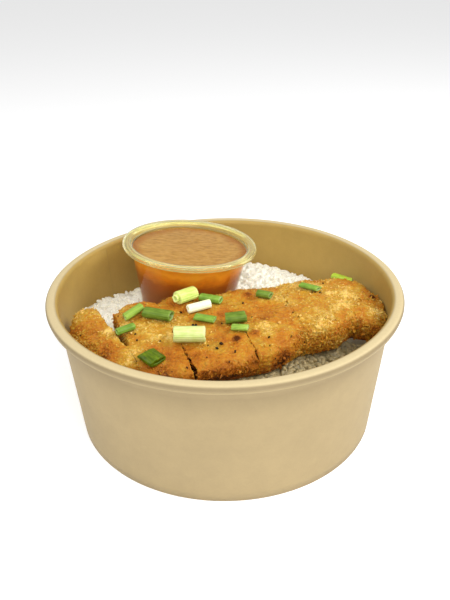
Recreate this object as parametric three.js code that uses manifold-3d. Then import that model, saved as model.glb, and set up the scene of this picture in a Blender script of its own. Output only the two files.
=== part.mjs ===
// A takeaway meal in a round kraft paper bowl: a bed of rice, a breaded chicken cutlet cut into six slices,
// a clear lidded pot of sauce pressed into the rice behind it, and fourteen pieces of spring onion on top.
// Millimetres, +Z up. The origin is the centre of the bowl's foot, and the open side of the meal faces -Y.
import * as THREE from "three";
import { mergeVertices } from "three/addons/utils/BufferGeometryUtils.js";
import Module from "manifold-3d";

const wasm = await Module();
wasm.setup();

// ---------------------------------------------------------------- driving dimensions
const GAP = 0.3; // left between two pieces that touch

const RIM_RADIUS = 92.5;
const FOOT_RADIUS = 80.5;
const BOWL_HEIGHT = 74.9;
const PAPER = 0.9; // thickness of the bowl's wall and floor
// Section of the rolled rim. Its outside leans in to the wall, by lean for each mm lower than leanFrom.
const ROLL = { halfWidth: 3.3, halfHeight: 3.3, squareness: 2.7, lean: 0.6, leanFrom: 1.2, steps: 7 };
const BASE_RECESS = 6; // height of the floor disc above the foot
const BOWL_SECTORS = 60;

const RICE_MIDDLE = 47.5; // height of the rice above the foot, in the middle of the bowl
// Height of the rice where it meets the wall, by the angle round the bowl, in degrees from +X towards +Y.
const RICE_AT_WALL = [
  [0, 44], [50, 44], [60, 43], [72, 46.4], [82, 45], [108, 41], [130, 38.4], [143, 41], [153, 44.5],
  [167, 48.5], [185, 47], [225, 44], [300, 43], [360, 44],
];
const GRAIN = { length: 6.6, width: 2.9, thickness: 2.5, spacing: 7.4 };

const KATSU = { x: 5, y: -16, bed: 47.6, yaw: 17, thickness: 17.5 }; // the cutlet's own frame and thickness
const KERF = 0.9; // width that the knife leaves between two slices
const LEFT_END = { from: -62, droop: 4.6 }; // the left end thins down from here, by this much at its tip

const POT = { x: -22.6, y: 36.4, z: 41, leanRight: 4.6, leanBack: 2.8 }; // the pot's base centre and lean
const POT_BASE_RADIUS = 25.6;
const POT_BODY_RADIUS = 33; // outside, just under its shoulder
const POT_SHOULDER_RADIUS = 35.2;
const POT_LIP_RADIUS = 36.8;
const POT_HEIGHT = 40;
const POT_WALL = 0.7;
const LID_RADIUS = 38.1;
const LID_HEIGHT = 2.9; // from the skirt's lower edge to the top of the ring
const LID_RING_WIDTH = 4.6;
const SAUCE_LEVEL = 36.8; // above the pot's base
const POT_SECTORS = 36;

// ---------------------------------------------------------------- helpers
const rad = THREE.MathUtils.degToRad;
const power = (value, exponent) => Math.sign(value) * Math.abs(value) ** exponent;

// A closed geometry as a solid, facing out.
function solidOf(geometry) {
  const bare = geometry.index ? geometry.toNonIndexed() : geometry.clone();
  bare.deleteAttribute("normal");
  bare.deleteAttribute("uv");
  const merged = mergeVertices(bare, 1e-3);
  const build = (triangles) =>
    new wasm.Manifold(
      new wasm.Mesh({ numProp: 3, vertProperties: merged.attributes.position.array, triVerts: triangles }),
    );
  const solid = build(new Uint32Array(merged.index.array));
  return solid.volume() > 0 ? solid : build(new Uint32Array(merged.index.array).reverse());
}

function geometryOf(solid) {
  const mesh = solid.getMesh();
  const positions = new Float32Array(mesh.numVert * 3);
  for (let i = 0; i < mesh.numVert; i++) {
    positions.set(mesh.vertProperties.subarray(i * mesh.numProp, i * mesh.numProp + 3), i * 3);
  }
  const geometry = new THREE.BufferGeometry();
  geometry.setAttribute("position", new THREE.BufferAttribute(positions, 3));
  geometry.setIndex(new THREE.BufferAttribute(new Uint32Array(mesh.triVerts), 1));
  geometry.computeVertexNormals();
  return geometry;
}

// The largest of a solid's separate bodies, which drops loose scraps.
const largest = (solid) => solid.decompose().reduce((a, b) => (a.volume() > b.volume() ? a : b));

function material(color, roughness, extra = {}) {
  return new THREE.MeshStandardMaterial({ color, roughness, metalness: 0, ...extra });
}

// A solid of revolution about +Z from (radius, height) pairs, closed on itself or ending on the axis.
function turned(profile, sectors) {
  const points = profile.map(([radius, height]) => new THREE.Vector2(radius, height));
  return solidOf(new THREE.LatheGeometry(points, sectors).rotateX(Math.PI / 2));
}

// Rings of points of equal count, joined side to side, with a fan over each end.
function loft(rings) {
  const count = rings[0].length;
  const positions = rings.flat();
  const faces = [];
  for (let i = 0; i + 1 < rings.length; i++) {
    for (let k = 0; k < count; k++) {
      const next = (k + 1) % count;
      const [a, b] = [i * count + k, i * count + next];
      faces.push([a, b, b + count], [a, b + count, a + count]);
    }
  }
  const fan = (start, flip) => {
    const middle = positions.length;
    const centre = [0, 1, 2].map((axis) => {
      let sum = 0;
      for (let k = 0; k < count; k++) sum += positions[start + k][axis];
      return sum / count;
    });
    positions.push(centre);
    for (let k = 0; k < count; k++) {
      const [a, b] = [start + k, start + ((k + 1) % count)];
      faces.push(flip ? [middle, b, a] : [middle, a, b]);
    }
  };
  fan(0, true);
  fan((rings.length - 1) * count, false);
  const geometry = new THREE.BufferGeometry();
  geometry.setAttribute("position", new THREE.Float32BufferAttribute(positions.flat(), 3));
  geometry.setIndex(faces.flat());
  return solidOf(geometry);
}

// Repeatable random numbers from 0 to 1.
function randomFrom(seed) {
  let state = seed >>> 0;
  return () => {
    state = (state + 0x6d2b79f5) >>> 0;
    let t = Math.imul(state ^ (state >>> 15), 1 | state);
    t = (t + Math.imul(t ^ (t >>> 7), 61 | t)) ^ t;
    return ((t ^ (t >>> 14)) >>> 0) / 4294967296;
  };
}

function lattice(i, j, k) {
  let h = Math.imul(i, 374761393) ^ Math.imul(j, 668265263) ^ Math.imul(k, 2147483647 - 1274126177);
  h = Math.imul(h ^ (h >>> 13), 1274126177);
  return ((h ^ (h >>> 16)) >>> 0) / 2147483648 - 1;
}

// Smooth random relief from -1 to 1, with bumps about `size` across.
function relief(x, y, z, size) {
  const cell = [x, y, z].map((v) => Math.floor(v / size));
  const part = [x, y, z].map((v, axis) => {
    const t = v / size - cell[axis];
    return t * t * (3 - 2 * t);
  });
  let sum = 0;
  for (let corner = 0; corner < 8; corner++) {
    const step = [corner & 1, (corner >> 1) & 1, corner >> 2];
    const weight = step.reduce((w, s, axis) => w * (s ? part[axis] : 1 - part[axis]), 1);
    sum += weight * lattice(cell[0] + step[0], cell[1] + step[1], cell[2] + step[2]);
  }
  return sum;
}

// ---------------------------------------------------------------- bowl
const rollCentre = { radius: RIM_RADIUS - ROLL.halfWidth, height: BOWL_HEIGHT - ROLL.halfHeight };
const wallInside = (height) => {
  const top = rollCentre.radius - ROLL.halfWidth;
  const foot = FOOT_RADIUS - PAPER;
  return foot + ((top - foot) * height) / rollCentre.height;
};

// The side wall, which flares up to a rim rolled over to the outside.
function bowlWall() {
  const profile = [
    [FOOT_RADIUS - PAPER, 0],
    [FOOT_RADIUS, 0],
  ];
  // Round the roll from under it, where it meets the wall, to its inner side.
  const [from, over, to] = [270, 450, 540].map(rad);
  for (let i = 0; i <= ROLL.steps; i++) {
    const angle = THREE.MathUtils.lerp(from, to, i / ROLL.steps);
    const out = ROLL.halfWidth * power(Math.cos(angle), 2 / ROLL.squareness);
    const up = ROLL.halfHeight * power(Math.sin(angle), 2 / ROLL.squareness);
    const tuck = angle < over ? ROLL.lean * Math.max(0, ROLL.leanFrom - up) : 0;
    profile.push([rollCentre.radius + out - tuck, rollCentre.height + up]);
  }
  profile.push(profile[0]);
  return turned(profile, BOWL_SECTORS);
}

// The floor disc, set in above the foot, with its edge turned down against the wall.
function bowlBase() {
  const top = BASE_RECESS + PAPER;
  const skirtFoot = 0.4;
  const skirt = 1.1; // thickness of the turned-down edge
  return turned(
    [
      [0, BASE_RECESS],
      [wallInside(BASE_RECESS) - GAP - skirt, BASE_RECESS],
      [wallInside(skirtFoot) - GAP - skirt, skirtFoot],
      [wallInside(skirtFoot) - GAP, skirtFoot],
      [wallInside(top) - GAP, top],
      [0, top],
    ],
    BOWL_SECTORS,
  );
}

// ---------------------------------------------------------------- sauce pot, in its own frame
const potInside = (height) =>
  POT_BASE_RADIUS + ((POT_BODY_RADIUS - POT_BASE_RADIUS) * height) / SAUCE_LEVEL - POT_WALL;

function potBody() {
  const shoulder = SAUCE_LEVEL + 0.4;
  return turned(
    [
      [0, 0],
      [POT_BASE_RADIUS, 0],
      [POT_BODY_RADIUS, shoulder - POT_WALL],
      [POT_SHOULDER_RADIUS, shoulder],
      [POT_SHOULDER_RADIUS, POT_HEIGHT - 0.8],
      [POT_LIP_RADIUS, POT_HEIGHT - 0.8],
      [POT_LIP_RADIUS, POT_HEIGHT],
      [POT_SHOULDER_RADIUS - POT_WALL, POT_HEIGHT],
      [POT_SHOULDER_RADIUS - POT_WALL, shoulder + 0.3],
      [potInside(SAUCE_LEVEL), shoulder],
      [potInside(1), 1],
      [0, 1],
    ],
    POT_SECTORS,
  );
}

// A snap-on lid: a flat panel let down inside the pot's mouth, a raised ring over the lip, and a skirt.
function potLid() {
  const panel = SAUCE_LEVEL + 1;
  const under = POT_HEIGHT + GAP;
  const top = under + 0.9;
  const skirtFoot = top - LID_HEIGHT;
  const plug = LID_RADIUS - LID_RING_WIDTH;
  return turned(
    [
      [0, panel],
      [plug, panel],
      [plug + 0.5, under],
      [POT_LIP_RADIUS + GAP, under],
      [POT_LIP_RADIUS + GAP, skirtFoot],
      [LID_RADIUS, skirtFoot],
      [LID_RADIUS, top - 1.2],
      [LID_RADIUS - 0.9, top - 0.1],
      [LID_RADIUS - 2, top],
      [plug + 0.4, top - 0.2],
      [plug - 0.4, top - 1],
      [plug - 0.8, panel + POT_WALL],
      [0, panel + POT_WALL],
    ],
    POT_SECTORS,
  );
}

function potSauce() {
  return turned(
    [
      [0, 1 + GAP],
      [potInside(1) - 1.4 * GAP, 1 + GAP],
      [potInside(SAUCE_LEVEL) - 1.4 * GAP, SAUCE_LEVEL],
      [0, SAUCE_LEVEL],
    ],
    POT_SECTORS,
  );
}

// The room that the pot takes up in the rice.
const potRoom = () =>
  turned(
    [
      [0, -GAP],
      [POT_BASE_RADIUS + GAP, -GAP],
      [POT_BODY_RADIUS + GAP, SAUCE_LEVEL],
      [0, SAUCE_LEVEL],
    ],
    POT_SECTORS,
  );

// ---------------------------------------------------------------- cutlet, in its own frame
// Plan outline, anticlockwise from the left tip: along the front, round the right tip and back.
const OUTLINE = [
  [-79.5, -3], [-75.5, -15], [-69, -25], [-62, -31], [-52, -34], [-30, -36], [-8, -36], [10, -35], [25, -27],
  [43, -29], [56, -22.5], [66, -28.5], [76, -21], [82, -9], [84, 3], [82, 16.5], [74, 26.5], [60, 31],
  [44, 32], [28, 30], [14, 33], [-2, 29], [-20, 30.5], [-29, 33], [-35.5, 28.5], [-41, 32], [-47, 34],
  [-53, 31], [-57.5, 24], [-60.5, 30.5], [-65, 33], [-69, 31], [-73, 25], [-76.5, 16.5], [-79.5, 7],
];
const SECTION = { top: 20, under: 7, roundTop: 3.8, roundUnder: 6 }; // points over and under, and squareness
const SECTIONS = 54;

// The five cuts across the cutlet, each a line of points from behind it to in front of it.
const CUTS = [
  [[-62.8, 60], [-50.8, -60]],
  [[-38, 60], [-29, -60]],
  [[-1.5, 60], [-0.5, -60]],
  [[35.5, 60], [23.5, -60]],
  [[38, 60], [43, 26], [50, 11], [55.5, 2], [57.8, -10], [58, -60]],
];
// How each slice has shifted, and turned about the cutlet's length, its width and the vertical, in degrees.
const SLICES = [
  { shift: [-3.9, 4.2, 1.2], turn: [2, -4, 5.5] },
  { shift: [-0.5, 0, 1], turn: [3.5, -1, -1] },
  { shift: [0.1, 0, 0.6], turn: [2.5, 0.6, 0.9] },
  { shift: [0.6, -0.2, 0.3], turn: [0, 0.4, 2.6] },
  { shift: [0.7, 0, 0.5], turn: [-0.8, -0.9, 2.6] },
  { shift: [0.8, 0.3, -0.1], turn: [-1.5, -1.8, 2.6] },
];

const outlineCurve = new THREE.CatmullRomCurve3(
  OUTLINE.map(([u, w]) => new THREE.Vector3(u, w, 0)),
  true,
  "centripetal",
);
const outlinePoints = outlineCurve.getPoints(600);
const leftTip = Math.min(...outlinePoints.map((p) => p.x));
const rightTip = Math.max(...outlinePoints.map((p) => p.x));

// Front and back edge of the plan outline at u.
function edgesAt(u) {
  const found = [];
  for (let i = 0; i + 1 < outlinePoints.length; i++) {
    const [a, b] = [outlinePoints[i], outlinePoints[i + 1]];
    if (a.x <= u !== b.x <= u) found.push(a.y + ((u - a.x) / (b.x - a.x)) * (b.y - a.y));
  }
  return [Math.min(...found), Math.max(...found)];
}

// Points evenly spaced round a half section, as (across, up) shares of its half width and half height.
function halfSection(count, squareness, up) {
  const fine = 400;
  const at = (i) => {
    const angle = (Math.PI * i) / fine;
    return [power(Math.cos(angle), 2 / squareness), up * power(Math.sin(angle), 2 / squareness)];
  };
  const aspect = 0.25; // a section is about four times as wide as it is high
  const run = [0];
  for (let i = 1; i <= fine; i++) {
    const [a, b] = [at(i - 1), at(i)];
    run.push(run[i - 1] + Math.hypot(b[0] - a[0], (b[1] - a[1]) * aspect));
  }
  const picked = [];
  for (let k = 0; k < count; k++) picked.push(at(run.findIndex((r) => r >= (run[fine] * k) / count)));
  return up > 0 ? picked : picked.map(([across, height]) => [-across, height]);
}

const SECTION_LOOP = [
  ...halfSection(SECTION.top, SECTION.roundTop, 1),
  ...halfSection(SECTION.under, SECTION.roundUnder, -1),
];

// The whole breaded cutlet, before it is cut: a low dome with rounded edges and a craggy crust.
function cutlet() {
  const rings = [];
  for (let i = 1; i < SECTIONS; i++) {
    const t = (2 * i) / SECTIONS - 1;
    const share = 0.62 * t + 0.38 * Math.sin((Math.PI * t) / 2); // closer together towards the tips
    const u = (leftTip + rightTip) / 2 + (share * (rightTip - leftTip)) / 2;
    const [front, back] = edgesAt(u);
    const round = (1 - Math.abs(share) ** SECTION.roundTop) ** (1 / SECTION.roundTop);
    const half = (KATSU.thickness / 2) * round;
    const swell = 0.8 * Math.exp(-(((u - 45) / 20) ** 2)); // the thickest part
    const droop = LEFT_END.droop * Math.max(0, (u - LEFT_END.from) / (leftTip - LEFT_END.from));
    rings.push(
      SECTION_LOOP.map(([across, up]) => {
        const w = (front + back) / 2 + (across * (back - front)) / 2;
        const z = KATSU.thickness / 2 + up * half + (up > 0 ? up * (swell - droop) : 0);
        const crag = up > -0.6 ? 0.75 * relief(u, w, z, 8) + 0.65 * relief(u, w, z, 3.6) : 0.15;
        const roll = up > 0.5 ? 0.9 * relief(u, w, 0, 26) : 0;
        const out = Math.abs(across) > 0.8 ? Math.sign(across) : 0;
        return [u, w + out * crag, Math.max(z + up * crag + roll, 0)];
      }),
    );
  }
  return loft(rings);
}

// The block of space that slice number i is cut from.
function sliceBlock(i) {
  const beyond = 120; // well clear of the cutlet
  const ends = [[-beyond, beyond], [-beyond, -beyond]];
  const left = i > 0 ? CUTS[i - 1].map(([u, w]) => [u + KERF / 2, w]) : ends;
  const right = i < CUTS.length ? CUTS[i].map(([u, w]) => [u - KERF / 2, w]) : ends.map(([u, w]) => [-u, w]);
  const plan = new THREE.Shape([...left, ...right.reverse()].map(([u, w]) => new THREE.Vector2(u, w)));
  const block = new THREE.ExtrudeGeometry(plan, { depth: 60, bevelEnabled: false });
  return solidOf(block.translate(0, 0, -10));
}

// ---------------------------------------------------------------- spring onion
// Each piece lies at x, y, turned by yaw. `width` and `height` are those of its section, `slant` how far each
// end is cut askew, and `lip` how far the upper leaf is cut back at the far end.
const GREEN = 0x4c8a2b;
const DARK = 0x2f6b1c;
const LIGHT = 0x7fb04a;
const PALE = 0xd3e07a;
const WHITE = 0xf1f0cf;
const ONIONS = [
  { x: -46.3, y: -19.6, yaw: 40, length: 10.6, width: 4.7, height: 4, slant: [0.8, -0.5], color: LIGHT },
  { x: -33.6, y: -22, yaw: -17, length: 14.2, width: 6.4, height: 5.4, slant: [0.6, 0.5], color: DARK },
  { x: -48.7, y: -33.2, yaw: 42, length: 10.2, width: 3.9, height: 3.4, slant: [1, 0.6], color: GREEN },
  { x: -34, y: -56.5, yaw: 135, length: 9, width: 9.6, height: 4.4, slant: [0, 0], lip: 3.4, color: DARK },
  { x: -20.2, y: -4.6, yaw: 42, length: 11.8, width: 7.6, height: 6.6, slant: [1, 0.8], color: PALE },
  { x: -7.2, y: -4.9, yaw: -22, length: 11, width: 4.7, height: 4.3, slant: [1.2, 0.5], color: GREEN },
  { x: -13.2, y: -13.4, yaw: 27, length: 12.6, width: 4.8, height: 4.5, slant: [0.5, 0.6], color: WHITE },
  { x: -10, y: -23.3, yaw: -9, length: 9.8, width: 4.6, height: 3.2, slant: [1.2, 1], color: GREEN },
  { x: -17.1, y: -41.2, yaw: 0, length: 14.8, width: 8.4, height: 7.8, slant: [0.2, -0.2], color: PALE },
  { x: 5.2, y: -24.2, yaw: 3, length: 9.8, width: 6.6, height: 5.6, slant: [0.6, -1.4], color: DARK },
  { x: 7.2, y: -32.2, yaw: -8, length: 7.8, width: 4.2, height: 3, slant: [0.4, 0.4], color: LIGHT },
  { x: 20.9, y: 0.4, yaw: -24, length: 7.4, width: 4.4, height: 3.8, slant: [0.6, 0.8], color: DARK },
  { x: 45.9, y: 8.2, yaw: -27, length: 9.6, width: 3.4, height: 2.8, slant: [1, 1.5], color: GREEN },
  { x: 68.9, y: 37.4, z: 57.5, yaw: -38, length: 12, width: 4.6, height: 3.8, slant: [1, -1], color: LIGHT },
];
const ONION_SIDES = 10;
const LEAF = 0.8; // thickness of a green leaf
const STALK = 1.5; // thickness of the pale lower stalk

// A hollow length of leaf or stalk along X, its middle at the origin.
function onionSolid({ length, width, height, slant, lip = 0, color }) {
  const wall = color === PALE || color === WHITE ? STALK : LEAF;
  const ring = (end, inset) => {
    const points = [];
    for (let k = 0; k < ONION_SIDES; k++) {
      const angle = (2 * Math.PI * k) / ONION_SIDES;
      const y = (width / 2 - inset) * Math.cos(angle);
      const z = (height / 2 - inset) * Math.sin(angle);
      const askew = (slant[end < 0 ? 0 : 1] * y) / width - (end > 0 ? (lip * z) / height : 0);
      points.push([(end * length) / 2 + askew, y, z]);
    }
    return points;
  };
  const outside = loft([ring(-1, 0), ring(1, 0)]);
  const bore = loft([ring(-1.4, wall), ring(1.4, wall)]);
  return outside.subtract(bore);
}

// ---------------------------------------------------------------- assembly
const meal = new THREE.Group();

function place(name, solid, look, parent = meal) {
  const mesh = new THREE.Mesh(geometryOf(solid), look);
  mesh.name = name;
  parent.add(mesh);
  return mesh;
}

const kraft = material(0xcdb583, 0.75);
place("bowl_wall", bowlWall(), kraft);
place("bowl_base", bowlBase(), kraft);

const pot = new THREE.Group();
pot.position.set(POT.x, POT.y, POT.z);
pot.rotation.set(-rad(POT.leanBack), rad(POT.leanRight), 0);
meal.add(pot);
const clear = material(0xece9c9, 0.15, { transparent: true, opacity: 0.35 });
place("sauce_pot", potBody(), clear, pot);
place("pot_lid", potLid(), clear, pot);
place("sauce", potSauce(), material(0xb5651d, 0.35), pot);

const katsu = new THREE.Group();
katsu.position.set(KATSU.x, KATSU.y, KATSU.bed);
katsu.rotation.z = rad(KATSU.yaw);
meal.add(katsu);
const crust = material(0xc98a35, 0.85);
const whole = cutlet();
const slices = SLICES.map((slice, i) => {
  const piece = largest(whole.intersect(sliceBlock(i)));
  const { min, max } = piece.boundingBox();
  const middle = (min[0] + max[0]) / 2;
  const mesh = place(`katsu_slice_${i + 1}`, piece.translate([-middle, 0, 0]), crust, katsu);
  mesh.position.set(middle, 0, 0).add(new THREE.Vector3(...slice.shift));
  mesh.rotation.set(...slice.turn.map(rad), "ZYX");
  return mesh;
});
meal.updateMatrixWorld(true);

// The end slices lean on the wall, and are pressed flat where they would pass through it.
for (const mesh of slices) {
  const position = mesh.geometry.attributes.position;
  const point = new THREE.Vector3();
  for (let i = 0; i < position.count; i++) {
    point.fromBufferAttribute(position, i).applyMatrix4(mesh.matrixWorld);
    const squeeze = (wallInside(point.z) - 2 * GAP) / Math.hypot(point.x, point.y);
    if (squeeze < 1) {
      point.set(point.x * squeeze, point.y * squeeze, point.z);
      mesh.worldToLocal(point);
      position.setXYZ(i, point.x, point.y, point.z);
    }
  }
  mesh.geometry.computeVertexNormals();
}

// Height of the crust under a point, or 0 where no slice lies there.
const down = new THREE.Raycaster();
function topAt(x, y) {
  down.set(new THREE.Vector3(x, y, 200), new THREE.Vector3(0, 0, -1));
  const hit = down.intersectObjects(slices)[0];
  return hit ? hit.point.z : 0;
}

const onionName = (i) => `spring_onion_${String(i + 1).padStart(2, "0")}`;

// Each piece of spring onion is let down until it is just clear of the crust along its whole length,
// except one that states its own height.
ONIONS.forEach((onion, i) => {
  if (onion.z) {
    const lone = place(onionName(i), onionSolid(onion), material(onion.color, 0.45));
    lone.position.set(onion.x, onion.y, onion.z);
    lone.rotation.set(0, 0, rad(onion.yaw));
    return;
  }
  const mesh = place(onionName(i), onionSolid(onion), material(onion.color, 0.45));
  const along = new THREE.Vector2(Math.cos(rad(onion.yaw)), Math.sin(rad(onion.yaw)));
  const heights = [-1, 0, 1].map((end) => {
    let highest = 0;
    for (let step = -2; step <= 2; step++) {
      for (let side = -2; side <= 2; side++) {
        const reach = (end * 0.33 + step * 0.08) * onion.length;
        const off = side * 0.18 * onion.width;
        const lift = (onion.height / 2) * (1 - Math.sqrt(1 - (2 * side * 0.18) ** 2));
        const [x, y] = [onion.x + along.x * reach - along.y * off, onion.y + along.y * reach + along.x * off];
        highest = Math.max(highest, topAt(x, y) - lift);
      }
    }
    return highest;
  });
  const pitch = Math.atan2(heights[2] - heights[0], 0.66 * onion.length);
  const middle = Math.max((heights[0] + heights[2]) / 2, heights[1]);
  mesh.position.set(onion.x, onion.y, middle + onion.height / 2 + GAP + 0.2);
  mesh.rotation.set(0, -pitch, rad(onion.yaw), "ZYX");
});

// ---------------------------------------------------------------- rice
const wallLevel = (degrees) => {
  const i = RICE_AT_WALL.findIndex(([angle]) => angle > degrees);
  const [[a, low], [b, high]] = [RICE_AT_WALL[i - 1], RICE_AT_WALL[i]];
  return THREE.MathUtils.lerp(low, high, (degrees - a) / (b - a));
};

function riceTop(x, y) {
  const degrees = (THREE.MathUtils.radToDeg(Math.atan2(y, x)) + 360) % 360;
  const atWall = wallLevel(degrees);
  const share = Math.min(Math.hypot(x, y) / wallInside(atWall), 1);
  const heap = 3 * Math.exp(-(((x - 22) / 22) ** 2) - ((y - 48) / 20) ** 2); // pushed up beside the pot
  return THREE.MathUtils.lerp(RICE_MIDDLE, atWall, share ** 2.5) + heap + 0.5 * relief(x, y, 0, 14);
}

// The bed under the grains: a packed mass that fills the bowl to just under its surface.
function riceCore() {
  const shares = [1, 0.9, 0.78, 0.64, 0.48, 0.3, 0.12];
  const sectors = 40;
  const floor = BASE_RECESS + PAPER + GAP;
  const ring = (share, height) => {
    const points = [];
    for (let k = 0; k < sectors; k++) {
      const angle = (360 * k) / sectors;
      const radius = (wallInside(height ?? wallLevel(angle)) - GAP - 0.3) * share;
      const [x, y] = [radius * Math.cos(rad(angle)), radius * Math.sin(rad(angle))];
      points.push([x, y, height ?? riceTop(x, y) - 0.5]);
    }
    return points;
  };
  return loft([ring(1, floor), ...shares.map((share) => ring(share))]);
}

// A grain with a few sides, its length along X.
const grainShape = new THREE.IcosahedronGeometry(1, 0);
grainShape.scale(GRAIN.length / 2, GRAIN.width / 2, GRAIN.thickness / 2);

function grainAt(x, y, z, yaw, pitch, grow = 0) {
  const size = [GRAIN.length, GRAIN.width, GRAIN.thickness].map((length) => 1 + (2 * grow) / length);
  const matrix = new THREE.Matrix4().compose(
    new THREE.Vector3(x, y, z),
    new THREE.Quaternion().setFromEuler(new THREE.Euler(0, pitch, yaw, "ZYX")),
    new THREE.Vector3(...size),
  );
  return solidOf(grainShape.clone().applyMatrix4(matrix));
}

// Grains are spread evenly over the rice that shows. Any that would touch the bowl or the food is skipped.
function rice() {
  const random = randomFrom(11);
  const potSpace = solidOf(geometryOf(potRoom()).applyMatrix4(pot.matrixWorld));
  const sliceSpaces = slices.map((slice) => {
    const geometry = slice.geometry.clone().applyMatrix4(slice.matrixWorld);
    geometry.computeBoundingBox();
    const middle = geometry.boundingBox.getCenter(new THREE.Vector3());
    const size = geometry.boundingBox.getSize(new THREE.Vector3());
    geometry.translate(-middle.x, -middle.y, -middle.z);
    geometry.scale(...size.toArray().map((length) => 1 + (4 * GAP) / length));
    return solidOf(geometry.translate(middle.x, middle.y, middle.z));
  });
  const taken = wasm.Manifold.union([potSpace, ...sliceSpaces]);
  const reach = (angle) => wallInside(wallLevel(angle)) - GAP;
  const grains = [];
  const placed = [];
  for (let attempt = 0; attempt < 6000; attempt++) {
    const degrees = 360 * random();
    const radius = reach(degrees) * Math.sqrt(random());
    const angle = rad(degrees);
    const [x, y] = [radius * Math.cos(angle), radius * Math.sin(angle)];
    const yaw = Math.PI * random();
    const pitch = 0.5 * (random() - 0.5);
    if (placed.some(([px, py]) => Math.hypot(px - x, py - y) < GRAIN.spacing)) continue;
    const tip = (GRAIN.length / 2) * Math.abs(Math.cos(yaw - angle));
    if (radius + tip + GRAIN.width / 3 > reach(degrees)) continue;
    if (topAt(x, y) > 0) continue;
    const z = riceTop(x, y) + 0.25;
    if (grainAt(x, y, z, yaw, pitch, GAP).intersect(taken).volume() > 0) continue;
    placed.push([x, y]);
    grains.push(grainAt(x, y, z, yaw, pitch));
  }
  return largest(wasm.Manifold.union([riceCore(), ...grains]).subtract(taken));
}

place("rice", rice(), material(0xf1efe2, 0.6));

export default meal;
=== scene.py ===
"""A takeaway bowl of rice with a sliced breaded cutlet, spring onion and a lidded pot of sauce: its looks.

Sizes are in millimetres, in the CAD model's own frame (+Z up, the diner at -Y). They are turned to metres
where a mesh is made.
"""

import itertools
import math

import bpy
import numpy as np
from mathutils import Matrix, Vector
from mathutils.bvhtree import BVHTree


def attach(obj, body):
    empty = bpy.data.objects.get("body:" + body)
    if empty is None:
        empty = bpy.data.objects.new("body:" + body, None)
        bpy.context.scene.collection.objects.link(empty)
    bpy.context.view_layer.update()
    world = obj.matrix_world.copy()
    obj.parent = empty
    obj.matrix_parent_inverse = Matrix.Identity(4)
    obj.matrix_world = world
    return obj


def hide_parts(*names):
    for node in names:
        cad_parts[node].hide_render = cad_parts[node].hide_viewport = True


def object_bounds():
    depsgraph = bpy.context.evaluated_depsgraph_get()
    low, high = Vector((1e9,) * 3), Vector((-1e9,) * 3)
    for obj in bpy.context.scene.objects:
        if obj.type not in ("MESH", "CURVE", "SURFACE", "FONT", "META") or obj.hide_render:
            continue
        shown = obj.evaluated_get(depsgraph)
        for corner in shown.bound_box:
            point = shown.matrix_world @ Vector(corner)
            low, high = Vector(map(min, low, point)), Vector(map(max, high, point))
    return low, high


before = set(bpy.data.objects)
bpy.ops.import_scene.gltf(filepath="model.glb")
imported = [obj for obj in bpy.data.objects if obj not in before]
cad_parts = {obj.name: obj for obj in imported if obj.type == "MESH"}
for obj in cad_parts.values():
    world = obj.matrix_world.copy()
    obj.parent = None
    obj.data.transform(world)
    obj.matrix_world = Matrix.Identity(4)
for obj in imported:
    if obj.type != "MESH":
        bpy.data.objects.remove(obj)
cad_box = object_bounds()

# ---------------------------------------------------------------- driving sizes
MM = 0.001
BODY = "root"
GAP = 0.3  # between two parts that would touch

# The camera: where it stands, what it looks at, its roll and its focal length in pixels of the photo's frame.
FRAME_WIDTH = 450
FRAME_HEIGHT = 600
FOCAL_PIXELS = 695.4
CAMERA_PLACE = Vector((0.07, -324.1, 243.3))
CAMERA_TARGET = Vector((0.07, 0, 64.9))
CAMERA_ROLL = math.radians(-0.78)
SENSOR = 36

# Bowl.
RIM_RADIUS = 92.5
BOWL_HEIGHT = 74.9
PAPER = 0.9
BASE_RECESS = 6
BASE_SKIRT = 1.1  # how wide the floor disc's turned-down edge is
BASE_SKIRT_FOOT = 0.4
BOWL_SECTORS = 240
WALL_STEPS = 14
ROLL_HALF_WIDTH = 3.3
ROLL_HALF_HEIGHT = 3.3
ROLL_SQUARENESS = 2.7
ROLL_ANGLES = (270, 540)  # from under the roll, where it meets the wall, to its inner side
ROLL_TOP_ANGLE = 450
ROLL_STEPS = 40
INSIDE_PAPER_STEPS = 9  # the roll's last steps, which show the inside of the paper
# The roll's outside leans in to the wall, by ROLL_LEAN for each mm lower than ROLL_LEAN_FROM.
ROLL_LEAN = 0.6
ROLL_LEAN_FROM = 1.2
BEAD = 0.45  # the rolled sheet's end stands out by this much, low on the roll
BEAD_UP = -0.9
BEAD_WIDTH = 0.45
# Painted highlight: how much paler the bead is, where the light catches it.
BEAD_PALE = 0.4
# How shaded the roll's outside is, from its underside up: the hollow is over the bead.
GROOVE = [(-3.3, 0.3), (-2.2, 0.35), (-0.9, 0), (-0.3, 0.1), (0.6, 0.32), (1.6, 0.55), (2.3, 0.5), (2.9, 0)]
WALL_SHADE = 0.35  # and the wall's just under the roll, from WALL_SHADE_FROM of its height
WALL_SHADE_FROM = 0.72
# The seam: where the paper's inner end shows, in degrees from +X towards +Y, and how far it laps over the
# outer end. The wall steps in and out there by a share of the paper, and the step fades over SEAM_FADE.
SEAM_ANGLE = 144.3
SEAM_LAP = 6.5
SEAM_EDGE = 0.06
SEAM_STEPS = (-0.5, -0.2, -SEAM_EDGE, SEAM_EDGE, 0.2, 0.5)  # extra corners, in degrees from each end
# The seam's dark line is painted shadow, cast by the paper's inner end.
SEAM_DARKNESS = 0.75
SEAM_MARK = 0.1  # half the width of its dark line, in degrees
SEAM_IN = 0.6
SEAM_OUT = 0.25
SEAM_FADE = 9
# The wall's slight waves, as on a cylinder of WAVE_RADIUS.
WAVE_HEIGHT = 0.15
WAVE_SIZE = 22
WAVE_RADIUS = 60
OUTSIDE_PAPER = (0.38, 0.286, 0.145)
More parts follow.
